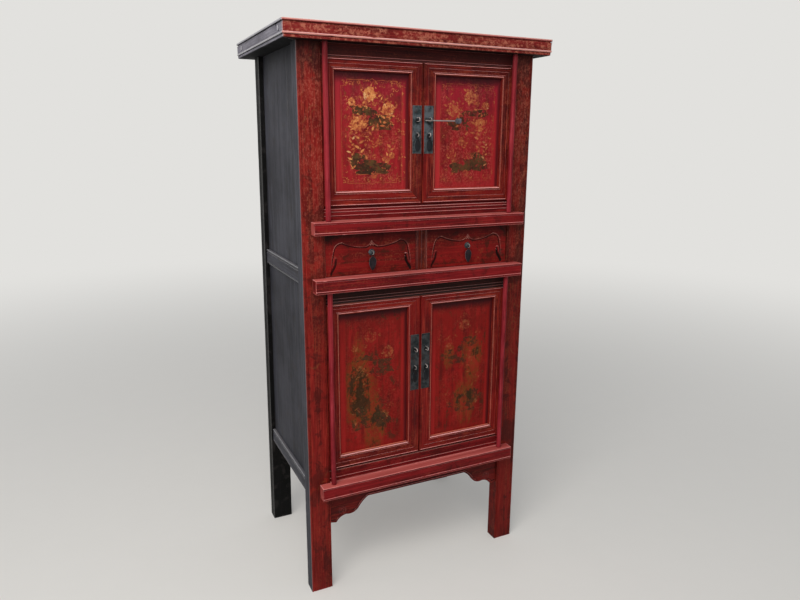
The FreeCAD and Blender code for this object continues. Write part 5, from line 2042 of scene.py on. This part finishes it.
def garden(sketch: Sketch, flip: bool, density: float, tone: float) -> None:
    """Peonies over a rock, with sprays and grass, in an upright field.

    Args:
        sketch: The drawing.
        flip: Whether it leans the other way.
        density: How much of the ground between them is filled.
        tone: Tone of that ground.
    """
    w, h = sketch.wide, sketch.high

    def at(x: float, y: float) -> tuple[float, float]:
        """A place given in shares of the field."""
        return ((1 - x if flip else x) * w, y * h)

    sketch.ground(30.0, density, tone)
    for x, y, wide, tall, shade in ((0.47, 0.2, 0.5, 0.12, 0.05), (0.32, 0.27, 0.2, 0.1, 0.1),
                                    (0.62, 0.59, 0.36, 0.11, 0.02),
                                    (0.38, 0.68, 0.34, 0.07, 0.06)):
        sketch.rock(*at(x, y), wide * w, tall * h, shade)
    for places, leaves, size, shade in (
            (((0.36, 0.26), (0.3, 0.42), (0.4, 0.56), (0.34, 0.72), (0.44, 0.84)), 14, 0.07, 0.75),
            (((0.38, 0.5), (0.56, 0.52), (0.7, 0.64), (0.76, 0.76)), 11, 0.065, 0.75),
            (((0.6, 0.2), (0.74, 0.32), (0.78, 0.46)), 9, 0.065, 0.65),
            (((0.24, 0.2), (0.2, 0.36), (0.25, 0.5)), 9, 0.06, 0.9),
            (((0.5, 0.3), (0.54, 0.4), (0.48, 0.47)), 7, 0.055, 0.6)):
        sketch.spray([at(*place) for place in places], leaves, size * w, shade)
    for x, y, reach in ((0.46, 0.82, 0.11), (0.72, 0.7, 0.1), (0.3, 0.575, 0.1)):
        sketch.dabs(*at(x, y), reach * w, 26, 0.05 * w, 0.72)
    for x, y, radius, petals, shade in (
            (0.46, 0.82, 0.09, 11, 0.95), (0.72, 0.7, 0.085, 11, 0.9),
            (0.3, 0.575, 0.09, 12, 0.78), (0.23, 0.75, 0.055, 8, 0.9), (0.6, 0.42, 0.05, 8, 0.62),
            (0.52, 0.135, 0.055, 8, 0.6), (0.77, 0.3, 0.045, 8, 0.75)):
        sketch.blossom(*at(x, y), radius * w, petals, shade)
    for x, y, blades, size, shade in ((0.23, 0.19, 7, 0.1, 0.9), (0.7, 0.21, 7, 0.09, 0.82),
                                      (0.42, 0.27, 5, 0.07, 0.7)):
        sketch.grass(*at(x, y), blades, size * h, shade)


# ------------------------------------------------------------------------------ doors
@dataclass
class Staple:
    """Flat-wire eye driven into the wood."""

    x: float
    face: float
    z: float
    standoff: float
    radius: float = 5.9
    band: float = 1.8
    wide: float = 3.2

    def onto(self, shell: Shell, slot: int = 0) -> None:
        """Add the staple to a mesh.

        Args:
            shell: The mesh.
            slot: Material slot.
        """
        turn = np.linspace(-math.pi / 2, -3 * math.pi / 2, 19)
        y = self.face - self.standoff
        arc = [(y + self.radius * math.cos(t), self.z + self.radius * math.sin(t)) for t in turn]
        legs = [self.face + 2.0, self.face - 0.35 * self.standoff]
        path = ([(leg, self.z - self.radius) for leg in legs] + arc
                + [(leg, self.z + self.radius) for leg in legs[::-1]])
        line = np.array([(self.x, a, b) for a, b in path])
        rings = tube(line, RIGHT, round_section(self.wide, self.band, 12, 3.2))
        # Its edges are painted bright as glints.
        shell.loft(rings, np.abs(np.cos(turns(12)))[None] ** 3, slot)


@dataclass
class Pull:
    """Hanging pull: a forged loop with a leaf-shaped drop."""

    bench: Bench
    node: str
    body: str
    pointed: bool
    thick: float = 2.6
    wire: float = 2.3
    loop: tuple[float, float] = (4.2, 6.0)
    loop_down: float = 7.3
    shank: float = 11.2

    def build(self) -> None:
        """Build the pull."""
        low, high = extent(self.node)
        x, y, top = (low[0] + high[0]) / 2, (low[1] + high[1]) / 2, high[2]
        shell = Shell()
        t = turns(40)
        loop = spots(x + self.loop[0] * signed_power(np.sin(t), 0.8), y,
                     top - self.loop_down + self.loop[1] * np.cos(t))
        rings = tube(loop, AWAY, round_section(self.wire, self.wire, 12, 2.0), True)
        shell.loft(rings, 0.4, capped=False)
        start, end = top - self.shank, low[2]
        rows = np.linspace(0, 1, 34)
        half = (high[0] - low[0]) / 2
        if self.pointed:
            wide = np.interp(rows, [0, 0.06, 0.16, 0.32, 0.5, 0.7, 0.86, 0.95, 1],
                             [0.32, 0.52, 0.86, 1.0, 0.97, 0.8, 0.52, 0.27, 0.05])
        else:
            wide = np.sqrt(np.maximum(1 - (2 * rows - 1) ** 2, 0.003))
            wide = np.maximum(wide, 0.34 * (rows < 0.2))
        turn = turns(24)
        ring = []
        for row, share in zip(rows, wide):
            belly = self.thick / 2 * (0.55 + 0.45 * min(1.0, share))
            across = half * share * np.cos(turn)
            ridge = 1 - 0.35 * np.abs(np.cos(turn))
            out = belly * signed_power(np.sin(turn), 0.7) * ridge
            ring.append(spots(x + across, y + out, start + (end - start) * row))
        # The drop's rim is painted bright as a highlight.
        edge = np.abs(np.cos(turn))[None] ** 10
        shell.loft(np.array(ring), 0.9 * edge + 0 * rows[:, None])
        self.bench.dress(shell, self.node, self.body, "iron",
                         "iron_drop" if self.pointed else "iron_dark", crease=60)


@dataclass
class Door:
    """One leaf: mitred frame, sunk painted panel, pivot pole, plate and pull."""

    bench: Bench
    quarter: str
    seed: int
    bead: float = 5.0
    rise: float = 1.6
    lip: float = 2.0
    widths: tuple[float, float, float, float] = (42.0, 46.0, 47.0, 36.0)
    pole_radius: float = 8.5
    pole_seat: float = 14.0
    pole_ends: float = 12.0
    neck: float = 9.0
    plate: float = 1.6

    def __post_init__(self) -> None:
        """Measure the leaf."""
        self.low, self.high = extent(self.quarter + "_frame")
        self.side = -1 if self.quarter.endswith("left") else 1
        self.body = self.quarter + "_door"
        self.upper = self.quarter.startswith("upper")

    def member_section(self, width: float, seat: float, first: float) -> Section:
        """Member of the frame, inwards from its outer edge.

        Args:
            width: Width of the member, mm.
            seat: Flat left at the outer edge for the pole.
            first: Width of the outer bead.

        Returns:
            The section, its face 26 mm out.
        """
        thick = self.high[1] - self.low[1]
        flat, inner = thick - self.rise, width - self.lip
        # Negative crests paint shade on the outer edge, on the pole's seat and on the lip by the
        # panel.
        shape = Section().corner(0, 0, 0.5, -1.0)
        if seat > 0:
            shape.corners((0, flat, 0.7, -1.0), (0.6 * seat, flat, 0.0, -1.0))
        else:
            shape.corner(0, flat, 0.7, -0.9)
        shape.bead((max(seat, 0.8), flat), (seat + first, flat), self.rise,
                   0.85 if first > 4 else 0.4)
        reed = seat + first + 0.36 * (inner - self.bead - seat - first)
        shape.bead((reed, flat), (reed + 3.0, flat), 0.9, 0.7, 4)
        shape.bead((inner - self.bead - 3.8, flat), (inner - self.bead - 0.9, flat), 1.1,
                   0.5, 4)
        shape.bead((inner - self.bead, flat), (inner, flat), self.rise)
        return shape.corners((inner + 0.01, thick - 3.0), (width, thick - 3.0, 0.6, -0.8),
                             (width, 0, 0.5))

    def frame(self) -> None:
        """Build the four mitred members."""
        outer, inner, bottom, top = self.widths
        back = self.high[1]
        xo, xi = (self.low[0], self.high[0]) if self.side < 0 else (self.high[0], self.low[0])
        z0, z1 = self.low[2], self.high[2]
        tall, wide = z1 - z0, abs(xi - xo)
        towards = -self.side * RIGHT
        members = (
            (outer, self.pole_seat, self.bead, xo, z0, towards, UP, tall, bottom, top, 7),
            (inner, 0, 3.0, xi, z0, -towards, UP, tall, bottom, top, 10),
            (bottom, 0, self.bead, xo, z0, UP, towards, wide, outer, inner, 10),
            (top, 0, self.bead, xo, z1, -UP, towards, wide, outer, inner, 6))
        shell = Shell()
        for i, (width, seat, first, x, z, across, run, length, start, end, nicks) in enumerate(
                members):
            Bar(self.member_section(width, seat, first), vec(x, back, z), across, FRONT, run,
                length, start / width, end / width, MITRED, sway=0.35, step=7.0, nick_depth=1.0,
                nicks=nicks, seed=self.seed + i).onto(shell, i // 2)
        self.bench.dress(shell, self.quarter + "_frame", self.body, "red_lacquer", "stile",
                         "member")

    def panel(self) -> None:
        """Build the sunk board and its painting."""
        low, high = extent(self.quarter + "_panel")
        wide, tall = high[0] - low[0], high[2] - low[2]
        u, v = np.meshgrid(ticks(wide, 9.0), ticks(tall, 9.0))
        sag = waves(v, u * 3, self.seed, 240.0)
        board = Shell()
        Relief(vec(low[0], low[1], low[2]), RIGHT, UP, FRONT, u, v, high[1] - low[1],
               -0.6 * sag, ease=0.8).onto(board, 0, 1)
        self.bench.dress(board, self.quarter + "_panel", self.body, "red_lacquer",
                         "panel_" + self.quarter, "panel_back")
        sketch = Sketch(wide - 2 * PANEL_TONGUE, tall - 2 * PANEL_TONGUE, self.seed)
        density = (0.85 if self.side < 0 else 0.7) if self.upper else 0.35
        garden(sketch, self.side > 0, density, 0.7 if self.upper else 0.4)
        sketch.border(23.0, 0.52 if self.upper else 0.3)
        painting = Shell()
        sketch.onto(painting, vec(low[0] + PANEL_TONGUE, low[1], low[2] + PANEL_TONGUE), FRONT)
        self.bench.place(painting, f"painting_{self.quarter}", self.body, "red_lacquer", [],
                         ["gilt_" + self.quarter])

    def pole(self) -> None:
        """Build the turned pole and the neck that joins it to the leaf."""
        low, high = extent(self.quarter + "_pole")
        x, y = (low[0] + high[0]) / 2, low[1] + self.pole_radius
        z0, z1 = low[2] + self.pole_ends, high[2] - self.pole_ends
        turn = turns(28)
        rows = ticks(z1 - z0, 14.0, 1.0)
        inset = 0.25 * waves(rows[:, None], 30 * np.sin(turn)[None], self.seed + 5, 130.0)
        ends = np.minimum(rows, rows[-1] - rows)[:, None]
        radius = self.pole_radius - inset - np.clip(1 - ends, 0, 1)
        rings = spots(x + radius * np.cos(turn), y + radius * np.sin(turn), z0 + rows[:, None])
        shell = Shell()
        shell.loft(rings, np.where(ends < 1.2, 1.0, 0.0))
        Bar(block_section(self.neck, high[1] - y, 0.4),
            vec(x - self.neck / 2, high[1], self.low[2]), RIGHT, FRONT, UP,
            self.high[2] - self.low[2], ends=HIDDEN, nicks=0, sway=0.1,
            seed=self.seed + 6).onto(shell, 1)
        self.bench.dress(shell, self.quarter + "_pole", self.body, "red_lacquer", "pole",
                         "stile", crease=50)

    def ironwork(self) -> None:
        """Build the lock plate with its two staples."""
        node = self.quarter + "_plate"
        low, high = extent(node)
        face = self.low[1] + self.rise - self.plate
        u, v = np.meshgrid(ticks(high[0] - low[0], 3.0, 0.5), ticks(high[2] - low[2], 3.0, 0.5))
        dent = 0.35 * waves(v, u * 5, self.seed + 8, 34.0)
        lock, hang = (107.0, 59.0) if self.upper else (152.0, 85.0)
        half = (high[0] - low[0]) / 2
        # Painted shadow just below each staple.
        painted_shadow = sum(bell(u - half, 7.5) * bell(v - place + 5.0, 11.0) for place in (lock, hang))
        shell = Shell()
        Relief(vec(low[0], face, low[2]), RIGHT, UP, FRONT, u, v, self.plate, -dent,
               -1.0 * np.minimum(painted_shadow, 1.0), ease=0.5).onto(shell)
        for up, standoff in ((lock, 14.0), (hang, 8.0)):
            Staple(low[0] + half, face, low[2] + up, standoff).onto(shell, 1)
        self.bench.dress(shell, node, self.body, "iron",
                         "iron" if self.upper else "iron_low", "iron_pale")

    def build(self) -> None:
        """Build the whole leaf."""
        self.frame()
        self.panel()
        self.pole()
        self.ironwork()
        Pull(self.bench, self.quarter + "_pull", "pull_" + self.quarter, False).build()


@dataclass
class LockPin:
    """Sliding pin with a flat tab."""

    bench: Bench
    radius: float = 2.0
    tab: float = 21.0

    def build(self) -> None:
        """Build the pin."""
        low, high = extent("lock_pin")
        y, z = (low[1] + high[1]) / 2, (low[2] + high[2]) / 2
        turn, reach = turns(16), high[0] - low[0]
        neck = reach - self.tab
        rows = [(0.0, 0.5, 0.5), (1.2, 0.85, 0.85), (4.0, 1, 1)]
        rows += [(s, 1, 1) for s in np.linspace(10, neck - 6, 14)]
        shape = [(neck - 1.5, 1, 1.2), (neck - 0.5, 0.65, 2.2), (neck + 0.5, 0.6, 3.5),
                 (neck + 2, 0.6, 3.9), (neck + 9, 0.6, 4.0), (reach - 3, 0.6, 3.9),
                 (reach - 0.8, 0.55, 3.6), (reach, 0.45, 3.1)]
        rings = []
        for s, thick, tall in rows + shape:
            power = 1.0 if tall <= 1.2 else 0.25
            rings.append(spots(low[0] + s,
                               y + self.radius * thick * signed_power(np.cos(turn), power),
                               z + self.radius * tall * signed_power(np.sin(turn), power)))
        shell = Shell()
        worn = [0.75] * len(rows) + [0.3] * 3 + [0.1] * 4 + [0.6]
        shell.loft(np.array(rings), np.array(worn)[:, None])
        self.bench.dress(shell, "lock_pin", "sliding_pin", "iron", "iron_bar", crease=60)


# ------------------------------------------------------------------------------ drawers
@dataclass
class Drawer:
    """One drawer: a carved front on a plain box, with a rosette and a pull."""

    bench: Bench
    name: str
    seed: int
    leaves: tuple[float, float] = (0.7, 1.0)
    step: float = 1.5
    sink: float = 3.0
    thread: float = 3.0

    def __post_init__(self) -> None:
        """Measure the front."""
        self.low, self.high = extent(self.name + "_front")
        self.half = (self.high[0] - self.low[0]) / 2
        self.body = self.name.replace("drawer_", "") + "_drawer"

    def field_line(self) -> Array:
        """Cusped line round the sunk field, from one foot to the other.

        Returns:
            (across, up) points about the middle of the front's lower edge.
        """
        tall, half = self.high[2] - self.low[2], self.half
        stops = [(0.0, tall - 29.0, 0.0), (22.0, tall - 48.0, -0.12),
                 (half - 58.0, tall - 30.0, -0.06), (half - 28.0, tall - 57.0, 0.2),
                 (half - 19.0, -2.0, 0.03)]
        right = bowed_line(stops, 0.05, 20)
        return np.concatenate([(right[::-1] * [-1, 1])[:-1], right])

    def front(self) -> None:
        """Carve the front."""
        tall = self.high[2] - self.low[2]
        across, up = ticks(2 * self.half, self.step), ticks(tall, self.step)
        u, v = np.meshgrid(across, up)
        line = self.field_line()
        spot = np.stack([u - self.half, v], -1)[:, :, None]
        gap = np.min(np.linalg.norm(spot - line[None, None], axis=-1), axis=-1)
        roof = np.interp(np.abs(u - self.half), line[len(line) // 2:, 0],
                         line[len(line) // 2:, 1], right=-9.0)
        signed = np.where(v < roof, gap, -gap)
        drop = 1 / (1 + np.exp(-np.clip((signed - 1.6) / 0.45, -30, 30)))
        ridge = bell(signed + 0.4, 0.62 * self.thread)
        height = -0.9 - (self.sink - 0.9) * drop + 0.9 * ridge
        # The carved line is rubbed and lighter; negative crest paints shade inside it and a thin
        # dark line outside it.
        shade = bell(signed - 2.9, 1.7)
        rubbed = np.clip(0.62 + 0.6 * waves(u, v, self.seed + 40, 55.0), 0.2, 1.0)
        crest = bell(signed + 0.6, 2.2, 4) * rubbed - shade - 0.35 * bell(signed + 3.4, 0.9)
        for bud in ((0.0, 38.0, 3.4, 5.2, 0.0), (-4.4, 42.5, 2.6, 3.6, -30.0),
                    (4.4, 42.5, 2.6, 3.6, 30.0)):
            lump = self.bud(u, v, *bud)
            height = np.maximum(height, -self.sink + lump * self.sink)
            crest = np.where(lump > 0.3, lump ** 2, crest)
        # The hollow behind each curled leaf is painted dark as shade; the leaf's crest is rubbed
        # and lighter.
        for side, strength in zip((-1, 1), self.leaves):
            lump, hollow = self.curl(u, v, side)
            height = np.maximum(height, -self.sink + lump * self.sink * strength)
            height = height - 2.4 * hollow * strength * (lump < 0.05)
            crest = np.where((lump < 0.05) & (hollow > 0.3), -hollow * strength, crest)
            crest = np.where(lump > 0.25, 0.7 * strength * lump ** 3, crest)
        height = np.minimum(height, 0.0) - 0.3 * waves(v * 4, u, self.seed, 120.0)
        shell = Shell()
        Relief(vec(self.low[0], self.low[1], self.low[2]), RIGHT, UP, FRONT, u, v,
               self.high[1] - self.low[1], height, np.clip(crest, -1, 1),
               ease=1.5).onto(shell, 0, 1)
        self.bench.dress(shell, self.name + "_front", self.body, "red_lacquer", "drawer",
                         "wood_level", crease=60)

    def bud(self, u: Array, v: Array, across: float, under: float, wide: float, tall: float,
            turn: float) -> Array:
        """Small carved leaf of the cusp.

        Args:
            u: Places across the front.
            v: Places up it.
            across: Its centre, from the middle, mm.
            under: Its centre, below the front's upper edge.
            wide: Half its width.
            tall: Half its height.
            turn: Its turn, degrees.

        Returns:
            Its height over the field, 0 to 1.
        """
        x, z = u - self.half - across, v - (self.high[2] - self.low[2] - under)
        c, s = math.cos(math.radians(turn)), math.sin(math.radians(turn))
        share = ((x * c + z * s) / wide) ** 2 + ((z * c - x * s) / tall) ** 2
        return np.clip(1.15 - share, 0, 1) ** 0.6

    def curl(self, u: Array, v: Array, side: int) -> tuple[Array, Array]:
        """Curled leaf that hangs from a haunch, and the hollow behind it.

        Args:
            u: Places across the front.
            v: Places up it.
            side: -1 or 1.

        Returns:
            Height of the leaf and depth of the hollow, 0 to 1.
        """
        half = self.half
        path = smooth_line(np.array([(half - 41, 50), (half - 41, 60), (half - 34, 61),
                                     (half - 29, 50), (half - 28, 38), (half - 20, 24),
                                     (half - 13, 15), (half - 13, -3)], float), 2)
        path = path * [side, 1]
        spot = np.stack([u - half, v], -1)[:, :, None]
        away = np.linalg.norm(spot - path[None, None], axis=-1)
        place = away.argmin(-1) / (len(path) - 1)
        wide = 1.7 + 1.9 * np.sin(math.pi * np.clip(place * 1.1, 0, 1)) ** 2
        lump = np.clip(1.12 - (away.min(-1) / wide) ** 2, 0, 1) ** 0.6
        inner = path[len(path) // 3:] - [side * 7.0, 3.0]
        gap = np.linalg.norm(spot - inner[None, None], axis=-1).min(-1)
        return lump, bell(gap, 4.6, 4)

    def spray(self) -> None:
        """Paint what is left of a flower spray on the field."""
        sketch = Sketch(2 * self.half, self.high[2] - self.low[2], self.seed)
        x = self.half + 62.0
        sketch.spray([(x - 34, 12), (x - 12, 34), (x + 4, 66)], 9, 15.0, 0.75)
        sketch.spray([(x + 30, 10), (x + 8, 30), (x - 8, 58)], 8, 13.0, 0.6)
        for place, up, radius, petals, shade in ((x + 4, 50, 10.0, 8, 0.7),
                                                 (x - 26, 30, 7.0, 7, 0.6),
                                                 (self.half - 70.0, 44, 8.0, 8, 0.4)):
            sketch.blossom(place, up, radius, petals, shade)
        sketch.dabs(self.half - 60.0, 36, 16.0, 14, 9.0, 0.5)
        painting = Shell()
        sketch.onto(painting, vec(self.low[0], self.low[1] + self.sink, self.low[2]), FRONT)
        self.bench.place(painting, "painting_" + self.name, self.body, "red_lacquer", [],
                         ["gilt_drawer"])

    def rosette(self) -> None:
        """Build the petalled back-plate and its staple."""
        node = self.name + "_rosette"
        low, high = extent(node)
        x, z = (low[0] + high[0]) / 2, (low[2] + high[2]) / 2
        radius = (high[0] - low[0]) / 2
        face = self.low[1] + self.sink
        turn = turns(64)
        petal = 0.5 + 0.5 * np.cos(8 * turn)
        rings = []
        for share, out, lobes in ((0.96, 0.0, 0.08), (0.96, 0.7, 0.08), (0.9, 1.3, 0.1),
                                  (0.75, 2.2, 0.1), (0.6, 2.6, 0.04), (0.52, 2.3, 0.0),
                                  (0.46, 3.2, 0.0), (0.36, 3.9, 0.0), (0.05, 4.0, 0.0)):
            r = radius * share * (1 - lobes * (1 - petal))
            dip = out - 0.5 * lobes * 5 * (1 - petal)
            rings.append(spots(x + r * np.cos(turn), face - np.maximum(dip, 0),
                               z + r * np.sin(turn)))
        shell = Shell()
        shell.loft(np.array(rings), 0.3)
        Staple(x, face - 4.0, z, 8.0).onto(shell, 1)
        self.bench.dress(shell, node, self.body, "iron", "iron", "iron_pale", crease=50)

    def build(self) -> None:
        """Build the drawer."""
        self.front()
        self.spray()
        self.rosette()
        self.bench.carry(self.name + "_box", "wood_deep", 0.7)
        Pull(self.bench, self.name + "_pull", "pull_" + self.name, True).build()


# ------------------------------------------------------------------------------ studio
@dataclass
class Studio:
    """Pale floor that runs into a pale surround, soft lights and the camera."""

    pale: Colour = ink(226, 225, 222)
    fill: float = 0.36
    eye: tuple[float, float, float] = (-1.01066, -2.21873, 1.56625)
    yaw: float = 25.4457
    pitch: float = -13.7198
    roll: float = 0.25715
    focus: float = 654.717
    image_width: float = 800.0

    def floor(self) -> None:
        """Build the floor."""
        mesh = bpy.data.meshes.new("studio_floor")
        shape = bmesh.new()
        bmesh.ops.create_circle(shape, cap_ends=True, segments=96, radius=14.0)
        shape.to_mesh(mesh)
        shape.free()
        made = bpy.data.objects.new("studio_floor", mesh)
        bpy.context.scene.collection.objects.link(made)
        net = Net("studio_floor")
        mottle = net.noise(9, 4, 0.6)
        colour = net.mix(mottle * 0.3, ink(226, 223, 218), ink(214, 211, 206))
        plain = net.node("ShaderNodeBsdfDiffuse", None, {"Color": colour})
        glow = net.node("ShaderNodeEmission", None, {"Color": self.pale, "Strength": 1.0})
        reach = net.node("ShaderNodeVectorMath", {"operation": "LENGTH"}, {0: net.spot}, 1)
        away = (0.25 + 0.75 * reach.band(0.6, 7.0)) * net.seen
        net.close(net.node("ShaderNodeMixShader", None, {0: away, 1: plain, 2: glow}))
        mesh.materials.append(net.owner)

    def surround(self) -> None:
        """Light the world evenly, and show it as pale to the camera and to gloss."""
        net = Net("studio", world=True)
        soft = net.node("ShaderNodeBackground", None,
                        {"Color": (0.93, 0.96, 1.0, 1.0), "Strength": self.fill})
        pale = net.node("ShaderNodeBackground", None, {"Color": self.pale})
        blend = net.node("ShaderNodeMixShader", None, {0: net.seen, 1: soft, 2: pale})
        bpy.context.scene.world = net.close(blend)

    def lamp(self, name: str, place: tuple[float, float, float],
             aim: tuple[float, float, float], size: tuple[float, float], power: float,
             colour: tuple[float, float, float] = (1.0, 0.98, 0.95)) -> None:
        """Hang a soft lamp.

        Args:
            name: Its name.
            place: Where it hangs, in metres.
            aim: What it points at.
            size: Its width and height.
            power: Its power, in watts.
            colour: Its colour.
        """
        data = bpy.data.lights.new(name, "AREA")
        data.shape = "RECTANGLE"
        data.size, data.size_y = size
        data.energy = power
        data.color = colour
        made = bpy.data.objects.new(name, data)
        made.location = place
        made.rotation_euler = (Vector(aim) - Vector(place)).to_track_quat("-Z", "Y").to_euler()
        bpy.context.scene.collection.objects.link(made)

    def camera(self) -> None:
        """Set up the camera."""
        yaw, pitch, roll = (math.radians(a) for a in (self.yaw, self.pitch, self.roll))
        ahead = Vector((math.sin(yaw) * math.cos(pitch), math.cos(yaw) * math.cos(pitch),
                        math.sin(pitch)))
        right = Vector((math.cos(yaw), -math.sin(yaw), 0))
        above = right.cross(ahead)
        across = right * math.cos(roll) + above * math.sin(roll)
        upward = -right * math.sin(roll) + above * math.cos(roll)
        data = bpy.data.cameras.new("camera")
        data.sensor_width = 36.0
        data.lens = self.focus / self.image_width * data.sensor_width
        made = bpy.data.objects.new("camera", data)
        made.matrix_world = Matrix.Translation(self.eye) @ Matrix(
            (across, upward, -ahead)).transposed().to_4x4()
        bpy.context.scene.collection.objects.link(made)
        bpy.context.scene.camera = made

    def build(self) -> None:
        """Build the studio."""
        self.floor()
        self.surround()
        self.lamp("lamp_over", (-1.7, -1.9, 3.35), (0, -0.25, 1.3), (2.0, 1.6), 84)
        self.lamp("lamp_front", (-0.9, -3.9, 2.6), (0, 0, 1.1), (2.4, 2.4), 24)
        self.lamp("lamp_side", (-3.6, -0.2, 2.6), (0, 0, 1.2), (2.0, 2.4), 19)
        self.camera()
        bpy.context.scene.view_settings.view_transform = "Standard"


def main() -> None:
    """Dress the cabinet, sub-assembly by sub-assembly, and light it."""
    logging.basicConfig(level=logging.INFO, format="%(message)s")
    bench = Bench(Palette())
    Posts(bench).build()
    FrontRails(bench).build()
    Cornice(bench).build()
    Sides(bench).build()
    Apron(bench).build()
    for number, quarter in enumerate(("upper_left", "upper_right", "lower_left",
                                      "lower_right")):
        Door(bench, quarter, 201 + 20 * number).build()
    LockPin(bench).build()
    Drawer(bench, "drawer_left", 301).build()
    Drawer(bench, "drawer_right", 311).build()
    Studio().build()
    LOG.info("%d pieces placed", bench.placed)


if __name__ == "__main__":
    main()
